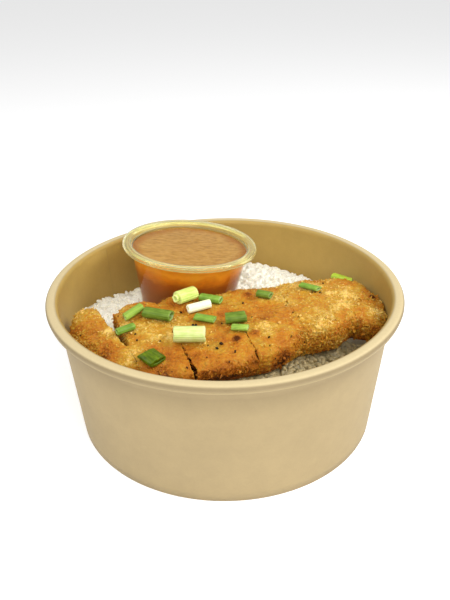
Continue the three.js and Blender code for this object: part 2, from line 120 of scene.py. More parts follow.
# The inside is the same paper, made deeper and more golden as painted light: bounce light and shade from the
# bowl's own walls.
INSIDE_PAPER = (0.435, 0.287, 0.074)
# Painted highlight: the paler kraft on top of the roll, where the light falls on it.
BENT_PAPER = (0.59, 0.475, 0.262)  # at the top of the roll

# Sauce pot, in its own frame: heights above its base.
POT_BASE_RADIUS = 25.6
POT_BODY_RADIUS = 33
POT_SHOULDER_RADIUS = 35.2
POT_LIP_RADIUS = 36.8
POT_LIP = 0.8
POT_HEIGHT = 40
POT_WALL = 0.7
POT_FLOOR = 1
POT_SECTORS = 160
LID_RADIUS = 38.1
LID_HEIGHT = 2.9
LID_RING_WIDTH = 4.6
LID_THICKNESS = 0.9
SAUCE_LEVEL = 36.8
MENISCUS = 0.25

# Rice.
RICE_MIDDLE = 47.5
# Height of the rice where it meets the wall, by the angle round the bowl, in degrees from +X towards +Y.
RICE_AT_WALL = [
    (0, 44), (50, 44), (60, 43), (72, 46.4), (82, 45), (108, 41), (130, 38.4), (143, 41), (153, 44.5),
    (167, 48.5), (185, 47), (225, 44), (300, 43), (360, 44),
]
HEAP = 3  # how much higher the rice is at HEAP_PLACE, behind the cutlet
HEAP_PLACE = (22, 48)
HEAP_SIZE = (22, 20)
BED_DROP = 0.35  # the bed lies this much under the grains' level
BED_SECTORS = 180
BED_ROWS = 60
BED_MIDDLE = 0.012  # where its innermost row is, as a share of the way out
BED_SIDE = (20, 32)  # heights of the rows on its side
BED_BUMPS = (3.4, 0.9, 31)  # size, height and seed, and the same for its swells
BED_SWELLS = [(14, 0.4, 12)]
RICE_TO_WALL = 0.25
GRAIN_LENGTH = 6.2
GRAIN_WIDTH = 2.8
GRAIN_FLATNESS = 0.86
GRAIN_COUNT = 2050
GRAIN_HEIGHTS = (-0.9, 0.75)  # from the rice's level to a grain's centre
GRAIN_SIZES = (0.86, 1.08)
GRAIN_TILT = 0.42
GRAIN_TO_WALL = 1.6
GRAIN_TO_POT = 1.2
# No grain is made where the cutlet is over it and over all that is this near to it.
UNDER_CUTLET = 6
UNDER_CUTLET_FROM = 40  # a height below the cutlet
# Painted shadow: the colour the rice takes in front of the cutlet, where shade falls. Painted light: how much
# the rice glows.
RICE_STAIN = (0.38, 0.29, 0.12)
RICE_GLOW = 0.22  # the light that steamed grains pass on from one to the next

# Cutlet.
SLICE_NAMES = [f"katsu_slice_{i}" for i in range(1, 7)]
CRUST_VOXEL = 0.43
SMOOTHING_ROUNDS = 22
CUT_FACE = 0.3  # what is this near to the knife's triangles is on a cut face
FARTHEST = 6  # how far the distances to the cut faces and the crust are measured
CRUST_TO_WALL = 0.15
CRUMB_TO_WALL = 0.1
# Loose crumbs and flakes: how many, how large and how far they stand out, as a share of their size.
CRUMBS = (9500, 0.36, 0.35)
FLAKES = (8000, 0.52, 0.5)
SPECK_SIZES = (0.4, 0.8)
SPECK_RISE = 0.5
# The crust's relief: the size, height and seed of its flakes, crumbs and grit, of its ridges, of its lumps
# and of the tears in its cut faces.
CRUST_GRAINS = [(3.2, 0.6, 3), (1.8, 0.6, 9), (1.05, 0.3, 15)]
CRUST_RIDGES = (2.6, 0.16, 27)
CRUST_LUMPS = [(6.5, 0.55, 21), (12, 0.35, 23)]
CUT_TEARS = [(3.2, 0.5, 51), (1.5, 0.45, 53)]
CRUST_FLANK = 0.3  # how much higher its grains are on the flanks
CRUST_SUNK = 0.1
CRUST_AT_ONION = 0.35
# How brown the crust is, and how much browner in patches, on its flanks, in its hollows, underneath and on
# its cut faces, and how much darker where a cut stays open, which is painted shade in the gap.
TOAST = 0.34
TOAST_PATCHES = [(16, 0.17, 61), (7, 0.17, 67)]
TOAST_FLANK = 0.24
TOAST_HOLLOW = 0.24
TOAST_UNDER = 0.25
TOAST_CUT = -0.15
TOAST_SCORCH = 0.8
# From pale to burnt.
CRUST_COLOURS = [
    (0.0, (0.8, 0.53, 0.15)),
    (0.25, (0.5, 0.272, 0.029)),
    (0.5, (0.48, 0.182, 0.018)),
    (0.75, (0.36, 0.11, 0.012)),
    (1.0, (0.09, 0.022, 0.004)),
]
OIL_SHEEN = (1.0, 0.8, 0.45)
# A cut closes by a move of the crust within CUT_REACH of it, which fades over CUT_FADE, where the gap between
# two slices is narrower than WIDEST_CLOSED. It closes all the way where the gap is narrower than CLOSED_GAP.
CUT_REACH = 4.5
CUT_FADE = 1.7
WIDEST_CLOSED = 3.4
CLOSED_GAP = 2.3
CUT_MEET = 0.54  # each side goes this much of the way over, so that the two meet
# Spots on the crust: a pixel of the photo's frame, a radius and a rise in millimetres, and how much browner
# the crust is there.
CRUST_SPOTS = [
    (237, 339, 2.2, 0.9, 0.85), (256, 333, 2.6, 0.9, 0.75), (299, 318, 1.6, 0.3, 0.35),
    (273, 372, 2.6, 0.9, 0.6), (372, 297, 1.9, 1.0, 0.95), (234, 293, 2.6, 1.2, 0.5),
    (247, 295, 2.6, 1.0, 0.5), (127, 304, 1.7, 1.2, 0.4), (139, 301, 2.0, 1.1, 0.3),
    (172, 299, 2.2, 1.2, 0.05), (285, 286, 1.3, 1.2, 0.05), (387, 318, 6.0, 0.0, 0.55),
    (378, 335, 6.0, 0.0, 0.1), (340, 342, 9.0, 0.0, -0.12), (82, 346, 8.0, 0.3, 0.25),
    (102, 360, 8.0, 0.0, 0.25), (75, 330, 4.5, 0.0, 0.2), (93, 330, 5.0, 0.0, 0.15),
    (222, 372, 9.0, 0.0, 0.3), (186, 362, 6.0, 0.0, 0.1), (285, 360, 7.0, 0.0, 0.15),
    (310, 350, 6.0, 0.0, 0.05), (144, 337, 3.0, 0.0, 0.2), (165, 335, 4.0, 0.0, -0.15),
    (205, 305, 6.0, 0.0, -0.15), (255, 300, 8.0, 0.0, -0.1),
]
# Where the cuts stay open, and where loose flakes are thick: a pixel of the photo's frame and a radius.
OPEN_CUTS = [
    (170, 331, 2.6), (184, 351, 2.6), (188, 359, 3.2), (192, 367, 3.6), (196, 375, 3.8), (247, 346, 2.5),
    (251, 357, 3.5),
]
SHAGGY = [
    (74, 340, 6), (83, 350, 6), (92, 357, 6), (100, 362, 5), (312, 332, 6), (322, 342, 6), (305, 350, 4),
    (340, 335, 5), (290, 362, 5), (352, 325, 4), (357, 300, 5), (372, 298, 5), (385, 312, 5),
    (378, 330, 6), (366, 338, 5), (388, 322, 4), (310, 354, 3), (262, 374, 5), (240, 374, 4),
    (330, 318, 4),
]
# Burnt specks, by their pixel in the photo's frame. The first few are the largest.
BURNT_SPECKS = [
    (193, 326), (196, 326), (221, 344), (217, 349), (208, 346), (135, 335), (160, 342), (137, 341),
    (81, 336), (222, 324), (235, 352), (270, 346), (275, 358), (291, 337), (293, 313), (304, 342),
    (312, 293), (315, 293), (320, 293), (243, 304), (172, 372), (223, 345), (181, 313), (323, 284),
    (150, 313), (207, 358), (252, 318), (269, 338), (118, 317), (187, 368), (229, 362), (286, 306),
]
LARGE_SPECKS = 4
LARGE_SPECK = 1.05

# Each finish of spring onion: its slot, its lighter and darker colour, its roughness and how thick its wall
# is.
ONION_FINISHES = {
    "light": ("onion_green", (0.36, 0.52, 0.08), (0.18, 0.31, 0.035), 0.35, 0.8),
    "bright": ("onion_green", (0.56, 0.72, 0.07), (0.34, 0.5, 0.03), 0.35, 0.8),
    "green": ("onion_green", (0.25, 0.42, 0.055), (0.11, 0.22, 0.018), 0.4, 0.8),
    "fresh": ("onion_pale", (0.82, 0.9, 0.3), (0.5, 0.65, 0.11), 0.35, 1.5),
    "blue": ("onion_dark_green", (0.19, 0.29, 0.035), (0.08, 0.145, 0.01), 0.4, 0.8),
    "dark": ("onion_dark_green", (0.14, 0.21, 0.004), (0.035, 0.07, 0.002), 0.35, 1.5),
    "pale": ("onion_pale", (0.74, 0.79, 0.36), (0.52, 0.64, 0.17), 0.35, 1.5),
    "white": ("onion_white", (1.0, 1.0, 0.72), (0.95, 0.96, 0.56), 0.4, 1.5),
}
# Each piece of spring onion, in the order of the CAD nodes: its finish, how many ribs it has and how deep
# they are.
ONION_LOOKS = [
    ("light", 14, 0.012), ("blue", 16, 0.016), ("green", 14, 0.012), ("dark", 20, 0.006),
    ("fresh", 15, 0.04), ("green", 15, 0.015), ("white", 12, 0.016), ("green", 14, 0.012),
    ("pale", 22, 0.028), ("blue", 16, 0.014), ("light", 13, 0.012), ("blue", 14, 0.014),
    ("green", 12, 0.014), ("bright", 13, 0.014),
]
ONION_NAMES = [f"spring_onion_{i:02}" for i in range(1, len(ONION_LOOKS) + 1)]
# A young leaf that stands out of one end: how thick it is, and how far it stands out.
ONION_CORES = {"spring_onion_05": (4.0, 1.8)}
CORE_WALL = 0.7
# How much paler a leaf is inside, and at its cut ends.
INSIDE_PALE = 0.18
END_PALE = 0.1
END_REACH = 0.05

# Light: the world's strength, then each light's name, its place and size in metres and its power.
WORLD_LIGHT = 0.56
LIGHTS = [
    ("key", (0.65, -0.1, 0.7), 0.5, 5.2),
    ("fill", (-0.6, -0.2, 0.75), 0.6, 2.8),
    ("front", (0.12, -0.68, 0.46), 0.7, 3.5),
]
LIGHTS_AIM = Vector((0, 0, 0.05))
FLOOR_HALF = 4  # metres


# ---------------------------------------------------------------- camera
forward = (CAMERA_TARGET - CAMERA_PLACE).normalized()
level_right = forward.cross(Vector((0, 0, 1))).normalized()
level_up = level_right.cross(forward)
camera_right = level_right * math.cos(CAMERA_ROLL) + level_up * math.sin(CAMERA_ROLL)
camera_up = camera_right.cross(forward)


def new_object(name, data):
    """A new object, put in the scene."""
    made = bpy.data.objects.new(name, data)
    bpy.context.scene.collection.objects.link(made)
    return made


def make_camera():
    data = bpy.data.cameras.new("camera")
    data.sensor_width = SENSOR
    data.lens = FOCAL_PIXELS / FRAME_HEIGHT * SENSOR
    data.clip_start = 10 * MM
    camera = new_object("camera", data)
    turn = Matrix((camera_right, camera_up, -forward)).transposed().to_4x4()
    camera.matrix_world = Matrix.Translation(CAMERA_PLACE * MM) @ turn
    bpy.context.scene.camera = camera


def pixel_ray(px, py):
    """The direction from the camera through a pixel of the photo's frame."""
    across = (px - FRAME_WIDTH / 2) / FOCAL_PIXELS
    up = (FRAME_HEIGHT / 2 - py) / FOCAL_PIXELS
    return (forward + across * camera_right + up * camera_up).normalized()


# ---------------------------------------------------------------- relief
def lattice(cell, seed):
    """Repeatable values from 0 to 1 at whole-number points."""
    mixed = cell[..., 0] * 374761393 + cell[..., 1] * 668265263 + cell[..., 2] * 1440662683 + seed * 974634777
    mixed = mixed & 0xFFFFFFFF
    mixed = ((mixed ^ (mixed >> 13)) * 1274126177) & 0xFFFFFFFF
    return ((mixed ^ (mixed >> 16)) & 0xFFFF) / 65535


def relief(points, size, seed=0):
    """Smooth random relief from -1 to 1, with bumps about `size` across."""
    grid = np.asarray(points, float) / size
    cell = np.floor(grid).astype(np.int64)
    part = grid - cell
    part = part * part * (3 - 2 * part)
    total = np.zeros(grid.shape[:-1])
    for corner in np.ndindex(2, 2, 2):
        weight = np.prod(np.where(corner, part, 1 - part), axis=-1)
        total += weight * lattice(cell + corner, seed)
    return 2 * total - 1


def layered(points, layers):
    """Relief in layers, each of them a size, a height and a seed."""
    return sum(high * relief(points, size, seed) for size, high, seed in layers)


def cell_distance(points, size, seed=0):
    """Distance to the nearest of scattered centres, in units of `size`, with one centre to a cell."""
    grid = np.asarray(points, float) / size
    cell = np.floor(grid).astype(np.int64)
    nearest = np.full(grid.shape[:-1], 9.0)
    for step in np.ndindex(3, 3, 3):
        corner = cell + step - 1
        centre = corner + np.stack([lattice(corner, seed + axis) for axis in range(3)], axis=-1)
        nearest = np.minimum(nearest, np.linalg.norm(grid - centre, axis=-1))
    return nearest


def crust_height(points, flank):
    """How far the crumb stands over the cutlet's skin: grains on lumps, higher on the flanks."""
    grains = sum(high * (0.5 - cell_distance(points, size, seed)) for size, high, seed in CRUST_GRAINS)
    size, high, seed = CRUST_RIDGES
    grains += high * (0.5 - np.abs(relief(points, size, seed)))
    return grains * (1 + CRUST_FLANK * flank) + layered(points, CRUST_LUMPS) - CRUST_SUNK


def power(value, exponent):
    """A power that keeps its sign, for squared-off ovals."""
    return math.copysign(abs(value) ** exponent, value)


def smooth_step(low, high, value):
    """0 at `low` and 1 at `high`, with a smooth rise between them."""
    part = np.clip((value - low) / (high - low), 0, 1)
    return part * part * (3 - 2 * part)


def near(points, place, radius, sharpness=2):
    """How near each point is to a place: 1 there, fading over `radius`."""
    return np.exp(-((np.linalg.norm(points - place, axis=-1) / radius) ** sharpness))


# ---------------------------------------------------------------- meshes
def make_piece(name, points, faces, materials, stands_for=(), smooth=True):
    """A mesh of the meal, riding on its body. Points are in millimetres."""
    mesh = bpy.data.meshes.new(name)
    mesh.from_pydata((np.asarray(points, float) * MM).tolist(), [], [list(face) for face in faces])
    for material in materials:
        mesh.materials.append(material)
    mesh.polygons.foreach_set("use_smooth", [smooth] * len(mesh.polygons))
    made = new_object(name, mesh)
    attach(made, BODY)
    if stands_for:
        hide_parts(*stands_for)
    return made


def set_values(made, **values):
    """Numbers for each corner of a piece, by name, for its material to read."""
    for name, numbers in values.items():
        attribute = made.data.attributes.new(name, "FLOAT", "POINT")
        attribute.data.foreach_set("value", np.asarray(numbers, np.float32))


def read(items, name, width, kind=int):
    """Rows of `width` numbers, one row for each item of a mesh."""
    numbers = np.empty(len(items) * width, kind)
    items.foreach_get(name, numbers)
    return numbers.reshape(-1, width)


def second_material(made, chosen):
    """Gives a piece's second material to the faces that are chosen by their corners."""
    for polygon in made.data.polygons:
        polygon.material_index = int(chosen(polygon.vertices))


def node_mesh(name):
    """A CAD node's corners, in millimetres, and its triangles."""
    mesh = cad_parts[name].data
    mesh.calc_loop_triangles()
    return read(mesh.vertices, "co", 3, float) / MM, read(mesh.loop_triangles, "vertices", 3)


def triangle_normals(points, triangles):
    """Each triangle's normal, with a length of its area."""
    a, b, c = (points[triangles[:, k]] for k in range(3))
    return np.cross(b - a, c - a) / 2


def unit(vectors):
    """Vectors with a length of 1."""
    length = np.linalg.norm(vectors, axis=-1, keepdims=True)
    return vectors / np.maximum(length, 1e-12)


def face_axes(node):
    """A CAD node's corners and triangles, the triangles' areas, and the axes that they face, least first."""
    points, triangles = node_mesh(node)
    normals = triangle_normals(points, triangles)
    area = np.linalg.norm(normals, axis=1)
    spread = (normals / np.maximum(area, 1e-9)[:, None]).T @ normals
    _, axes = np.linalg.eigh(spread)
    return points, triangles, area, axes


def gathered(index, values, count):
    """For each of `count` corners, the sum of the rows of `values` that belong to it."""
    return np.stack([np.bincount(index, values[:, axis], count) for axis in range(3)], axis=-1)


def corner_normals(points, quads):
    """Smooth normals at the corners of a mesh of quads."""
    a, b, c, d = (points[quads[:, k]] for k in range(4))
    facing = np.cross(c - a, d - b)
    return unit(sum(gathered(quads[:, k], facing, len(points)) for k in range(4)))


def bvh_of(points, triangles):
    """A surface that can be searched for its nearest point."""
    return BVHTree.FromPolygons([Vector(p) for p in points], triangles.tolist())


def joined_tree(meshes):
    """Several meshes as one surface."""
    starts = np.cumsum([0] + [len(points) for points, _ in meshes])
    return bvh_of(
        np.concatenate([points for points, _ in meshes]),
        np.concatenate([triangles + start for (_, triangles), start in zip(meshes, starts)]),
    )


def distances(tree, points, reach):
    """Distance from each point to a surface, or `reach` where it is farther."""
    found = np.full(len(points), float(reach))
    for i, point in enumerate(points):
        distance = tree.find_nearest(point, reach)[3]
        if distance is not None:
            found[i] = distance
    return found


def rounded(profile, radius, closed=False):
    """An outline with its corners rounded off. Each cut goes at most 0.45 of the way along a side."""
    steps = 3
    count = len(profile)
    points = [np.array(p, float) for p in profile]
    made = []
    for i, corner in enumerate(points):
        if not closed and i in (0, count - 1):
            made.append(corner)
            continue
        sides = []
        for other in (points[i - 1], points[(i + 1) % count]):
            length = np.linalg.norm(other - corner)
            sides.append(corner + (other - corner) * min(radius / length, 0.45))
        for step in range(steps + 1):
            t = step / steps
            made.append((1 - t) ** 2 * sides[0] + 2 * t * (1 - t) * corner + t * t * sides[1])
    return made


def round_angles(count):
    return 2 * np.pi * np.arange(count) / count


def ring_points(radius, height, angle):
    return np.stack([radius * np.cos(angle), radius * np.sin(angle), np.full(len(angle), height)], -1)


def band(low, high, sectors):
    """The corners of each cell between two rings: two on the low ring, then two on the high one."""
    for k in range(sectors):
        after = (k + 1) % sectors
        yield low + k, low + after, high + after, high + k


def turned(profile, angle, closed):
    """A surface of revolution about +Z, its faces out, from (radius, height) pairs, open or closed.

    An open profile starts and ends on the axis.
    """
    rows = [ring_points(*pair, angle) for pair in profile]
    if not closed:
        for end in (0, -1):
            rows[end] = rows[end][:1]
    starts = np.cumsum([0] + [len(row) for row in rows]).tolist()
    faces = []
    for i in range(len(rows) if closed else len(rows) - 1):
        after = (i + 1) % len(rows)
        low = starts[i]
        high = starts[after]
        for a, b, c, d in band(low, high, len(angle)):
            if len(rows[i]) == 1:
                faces.append((c, d, low))
            elif len(rows[after]) == 1:
                faces.append((b, high, a))
            else:
                faces.append((b, c, d, a))
    return np.concatenate(rows), faces


def make_turned(name, profile, angle, materials, stands_for=(), place=None, closed=True):
    """A turned piece, set in place by a matrix. Returns the piece and its own-frame points."""
    own, faces = turned(profile, angle, closed)
    placed = own if place is None else own @ place[:3, :3].T + place[:3, 3]
    return make_piece(name, placed, faces, materials, stands_for), own


# ---------------------------------------------------------------- materials
class Shader:
    """A material's nodes, made and joined in few words."""

    def __init__(self, name):
        self.material = bpy.data.materials.new(name)
        self.material.use_nodes = True
        self.tree = self.material.node_tree
        self.surface = self.tree.nodes["Principled BSDF"]
        self.place = self.node("ShaderNodeTexCoord").outputs["Object"]

    def node(self, kind, **settings):
        """A new node, with its settings."""
        made = self.tree.nodes.new(kind)
        for key, value in settings.items():
            setattr(made, key, value)
        return made

    def put(self, socket, value):
        """Joins an output to a socket, or sets the socket to a constant."""
        if isinstance(value, bpy.types.NodeSocket):
            self.tree.links.new(value, socket)
        elif hasattr(value, "__len__") and len(value) == 3 and len(socket.default_value) == 4:
            socket.default_value = (*value, 1)
        else:
            socket.default_value = value

    def set(self, **sockets):
        """Joins or sets sockets of the surface, by their names."""
        for name, value in sockets.items():
            self.put(self.surface.inputs[name.replace("_", " ")], value)

    def cover(self, color, roughness, shine):
        """The surface's colour, its roughness and how much it shines."""
        self.set(Base_Color=color, Roughness=roughness, Specular_IOR_Level=shine)

    def scatter(self, weight, radius, size):
        """Light that spreads under the surface, each colour by its share of `size` millimetres."""
        self.set(Subsurface_Weight=weight, Subsurface_Radius=radius, Subsurface_Scale=size * MM)

    def glow(self, color, strength):
        """Light that the surface gives off."""
        self.set(Emission_Color=color, Emission_Strength=strength)

    def noise(self, size, detail=2, roughness=0.5, stretch=None):
        """Noise with features about `size` millimetres across."""
        made = self.node("ShaderNodeTexNoise")
        source = self.place
        if stretch:
            mapping = self.node("ShaderNodeMapping")
            self.put(mapping.inputs["Vector"], self.place)
            mapping.inputs["Scale"].default_value = stretch
            source = mapping.outputs["Vector"]
        self.put(made.inputs["Vector"], source)
        made.inputs["Scale"].default_value = 1 / (size * MM)
        made.inputs["Detail"].default_value = detail
        made.inputs["Roughness"].default_value = roughness
        return made.outputs["Fac"]

    def cells(self, size):
        """Distance within cells about `size` millimetres across."""
        made = self.node("ShaderNodeTexVoronoi")
        self.put(made.inputs["Vector"], self.place)
        made.inputs["Scale"].default_value = 1 / (size * MM)
        return made.outputs["Distance"]

    def value(self, name):
        """A number stored at the piece's corners."""
        return self.node("ShaderNodeAttribute", attribute_name=name).outputs["Fac"]

    def math(self, operation, a, b=0.0, c=0.0):
        """A calculation with up to three values."""
        made = self.node("ShaderNodeMath", operation=operation)
        for socket, value in zip(made.inputs, (a, b, c)):
            self.put(socket, value)
        return made.outputs[0]

    def sway(self, value, noise, amount, middle=0.5):
        """A value moved up and down by a noise, by `amount` for each 1 that the noise is over its middle."""
        return self.math("MULTIPLY_ADD", self.math("SUBTRACT", noise, middle), amount, value)

    def ramp(self, factor, *stops):
        """Colours by position: each stop is (position, colour)."""
        made = self.node("ShaderNodeValToRGB")
        elements = made.color_ramp.elements
        while len(elements) < len(stops):
            elements.new(0.5)
        for element, (position, color) in zip(elements, stops):
            element.position = position
            element.color = (*color, 1)
        self.put(made.inputs["Fac"], factor)
        return made.outputs["Color"]

    def mix(self, factor, a, b):
        """A colour between two others: `a` where the factor is 0."""
        made = self.node("ShaderNodeMix", data_type="RGBA")
        for socket, value in ((made.inputs[0], factor), (made.inputs[6], a), (made.inputs[7], b)):
            self.put(socket, value)
        return made.outputs[2]

    def bump(self, height, distance, strength):
        """Bump of a height from 0 to 1 over `distance` millimetres."""
        made = self.node("ShaderNodeBump")
        made.inputs["Strength"].default_value = strength
        made.inputs["Distance"].default_value = distance * MM
        self.put(made.inputs["Height"], height)
        self.put(self.surface.inputs["Normal"], made.outputs["Normal"])


def kraft_material(name, base, roughness):
    """Kraft board: mottled tan with fine fibres; painted highlight on the rim's roll, painted shade under it
    and at the seam.
    """
    shader = Shader(name)
    fibres = shader.noise(1.2, 3, 0.6)
    tone = shader.math("MULTIPLY", shader.noise(6, 3), 0.3)
    tone = shader.math("MULTIPLY_ADD", shader.noise(28, 3), 0.45, tone)
    tone = shader.math("MULTIPLY_ADD", fibres, 0.25, tone)
    color = shader.ramp(tone, (0.36, [c * 0.94 for c in base]), (0.64, [c * 1.06 for c in base]))
    # Painted highlight on the roll's top and on its bead.
    bent = shader.ramp(fibres, (0.3, [c * 0.95 for c in BENT_PAPER]), (0.7, BENT_PAPER))
    color = shader.mix(shader.value("crown"), color, bent)
    # Painted shade: darker under the roll, in its groove and along the seam's line.
    color = shader.mix(shader.value("cut_end"), color, [c * 0.45 for c in base])
    shader.cover(color, roughness, 0.3)
    shader.bump(fibres, 0.05, 0.3)
    return shader.material


def crust_material():
    """Fried crumb: golden, browner by each corner's stored browning and painted gap shade, with pale grains
    in an oily ground.
    """
    shader = Shader("fried_crumb")
    fine = shader.noise(0.7, 2, 0.6)
    grain = shader.cells(1.1)
    toast = shader.sway(shader.value("toast"), fine, 0.4)
    toast = shader.sway(toast, shader.noise(6, 3), 0.7)
    toast = shader.sway(toast, grain, 0.24, 0.42)
    shader.cover(shader.ramp(toast, *CRUST_COLOURS), 0.36, 0.14)
    shader.set(Specular_Tint=OIL_SHEEN)
    shader.scatter(0.3, (1.0, 0.45, 0.08), 1.2)
    shader.bump(shader.math("MULTIPLY_ADD", grain, -0.6, fine), 0.3, 0.5)
    return shader.material


def crumb_material():
    shader = Shader("loose_crumb")
    toast = shader.sway(shader.value("toast"), shader.noise(0.5, 2, 0.6), 0.3)
    shader.cover(shader.ramp(toast, *CRUST_COLOURS), 0.34, 0.2)
    shader.set(Specular_Tint=OIL_SHEEN)
    shader.scatter(0.4, (1.0, 0.5, 0.12), 1.0)
    return shader.material


def burnt_material():
    shader = Shader("burnt_crumb")
    color = shader.ramp(shader.noise(0.6), (0.4, (0.012, 0.008, 0.005)), (0.7, (0.05, 0.02, 0.01)))
    shader.cover(color, 0.5, 0.1)
    return shader.material


def rice_material(name, low, high):
    """Steamed rice: moist, white and slightly see-through, with a painted shadow in front of the cutlet and a
    painted glow elsewhere.
    """
    shader = Shader(name)
    stain = shader.value("stain")
    # Painted shadow: darker and browner in front of the cutlet.
    color = shader.mix(stain, shader.ramp(shader.noise(3.2, 2), (0.3, low), (0.65, high)), RICE_STAIN)
    shader.cover(color, 0.42, 0.25)
    # Painted light: the rice glows, less where its painted shadow is.
    shader.glow(color, shader.math("MULTIPLY_ADD", stain, -RICE_GLOW, RICE_GLOW))
    shader.scatter(0.6, (1.0, 0.95, 0.8), 2.6)
    shader.bump(shader.noise(0.9, 2), 0.08, 0.3)
    return shader.material


def plastic_material(name, tint, roughness, bend, gloss, clear=1.0, glow=0.0):
    """Clear plastic: it bends light by `bend`, is milky where `clear` is under 1 and glows by `glow`."""
    shader = Shader(name)
    shader.glow(tint, glow)
    shader.set(Base_Color=tint, Roughness=roughness, IOR=bend, Specular_Tint=gloss, Transmission_Weight=clear)
    return shader.material


def sauce_side_material():
    """Sauce seen through the pot's side: orange on top and dark brown below, with painted light and shade."""
    shader = Shader("sauce_side")
    level = shader.sway(shader.value("level"), shader.noise(12, 3), 0.22)
    level = shader.sway(level, shader.noise(4, 3, stretch=(1, 1, 2.5)), 0.1)
    # The top stop is painted shade under the lid's ring; the orange band is partly the oil's colour, partly
    # painted light through it.
    color = shader.ramp(
        level,
        (0.45, (0.28, 0.08, 0.012)),
        (0.68, (0.36, 0.095, 0.01)),
        (0.79, (0.66, 0.21, 0.013)),
        (0.88, (0.82, 0.36, 0.03)),
        (1.0, (0.7, 0.27, 0.022)),
    )
    shader.cover(color, 0.3, 0.2)
    # Painted light: a slight glow, for light passing through the sauce.
    shader.glow(color, 0.14)
    shader.scatter(0.5, (1.0, 0.35, 0.05), 5)
    return shader.material


def sauce_top_material():
    """Sauce from above: hazy tan brown with fine flecks, and a clearer orange edge."""
    shader = Shader("sauce_top")
    flecks = shader.noise(2.6, 4, 0.7, stretch=(0.6, 1.3, 1))
    edge = shader.sway(shader.value("share"), shader.noise(9, 3), 0.25)
    tan = shader.ramp(
        flecks,
        (0.34, (0.39, 0.185, 0.032)),
        (0.46, (0.53, 0.285, 0.06)),
        (0.66, (0.64, 0.375, 0.1)),
    )
    rim = shader.ramp(edge, (0.82, (0, 0, 0)), (0.95, (1, 1, 1)))
    shader.cover(shader.mix(rim, tan, (0.46, 0.18, 0.015)), 0.4, 0.0)
    shader.bump(flecks, 0.12, 0.5)
    return shader.material


def onion_material(name, light, dark, roughness):
    """A leaf or stalk: fine stripes along its length, from the angle round it stored at its corners."""
    shader = Shader(name)
    stripe = shader.node("ShaderNodeTexNoise")
    place = shader.node("ShaderNodeCombineXYZ")
    shader.put(place.inputs["X"], shader.math("MULTIPLY", shader.value("round"), 34.0))
    shader.put(place.inputs["Y"], shader.math("MULTIPLY", shader.value("along"), 1.6))
    shader.put(stripe.inputs["Vector"], place.outputs["Vector"])
    stripe.inputs["Scale"].default_value = 1.0
    stripe.inputs["Detail"].default_value = 3
    stripes = stripe.outputs["Fac"]
    tone = shader.math("MULTIPLY_ADD", shader.noise(4, 2), 0.45, shader.math("MULTIPLY", stripes, 0.55))
    tone = shader.math("ADD", tone, shader.value("pale"))
    color = shader.ramp(tone, (0.36, dark), (0.66, light), (1.0, [min(1, 0.35 + c * 0.7) for c in light]))
    shader.cover(color, roughness, 0.2)
    shader.scatter(0.12, (0.6, 1.0, 0.3), 0.8)
    shader.bump(stripes, 0.12, 0.5)
    return shader.material


def floor_material():
    shader = Shader("pale_floor")
    shader.cover((0.86, 0.86, 0.86), 0.9, 0.0)
    shader.glow((1, 1, 1), 0.3)
    return shader.material


# ---------------------------------------------------------------- bowl
cad_reach = cad_box[1].x / MM
wall_points, _ = node_mesh("bowl_wall")
foot_radius = np.linalg.norm(wall_points[wall_points[:, 2] < 0.01][:, :2], axis=1).max()
roll_radius = RIM_RADIUS - ROLL_HALF_WIDTH
roll_height = BOWL_HEIGHT - ROLL_HALF_HEIGHT


def wall_inside(height):
    """Inner radius of the bowl's wall."""
    top = roll_radius - ROLL_HALF_WIDTH
    foot = foot_radius - PAPER
    return foot + (top - foot) * height / roll_height


def keep_in_bowl(points, clearance):
    """Draws points in to the bowl's axis where they are nearer to its wall than `clearance`."""
    reach = wall_inside(points[:, 2]) - clearance
    points[:, :2] *= np.minimum(1, reach / np.linalg.norm(points[:, :2], axis=1))[:, None]


def rim_roll():
    """The rolled rim's outline and, at each point of it, how much painted highlight and painted shade it has.
    """
    outline = []
    crown = []
    groove = []
    for angle in np.radians(np.linspace(*ROLL_ANGLES, ROLL_STEPS + 1)):
        out = ROLL_HALF_WIDTH * power(math.cos(angle), 2 / ROLL_SQUARENESS)
        up = ROLL_HALF_HEIGHT * power(math.sin(angle), 2 / ROLL_SQUARENESS)
        # Painted highlight: paler on the roll's top and, lower down, on the bead.
        pale = smooth_step(-2.2, -0.9, out) * smooth_step(2.2, 3.0, up)
        if angle < math.radians(ROLL_TOP_ANGLE):
            bead = math.exp(-(((up - BEAD_UP) / BEAD_WIDTH) ** 2))
            out -= ROLL_LEAN * max(0, ROLL_LEAN_FROM - up)
            out += BEAD * bead
            pale += BEAD_PALE * bead
        outline.append(np.array((roll_radius + out, roll_height + up)))
        crown.append(pale)
        groove.append(np.interp(up, *zip(*GROOVE)) * (out > 0))
    return outline, crown, groove


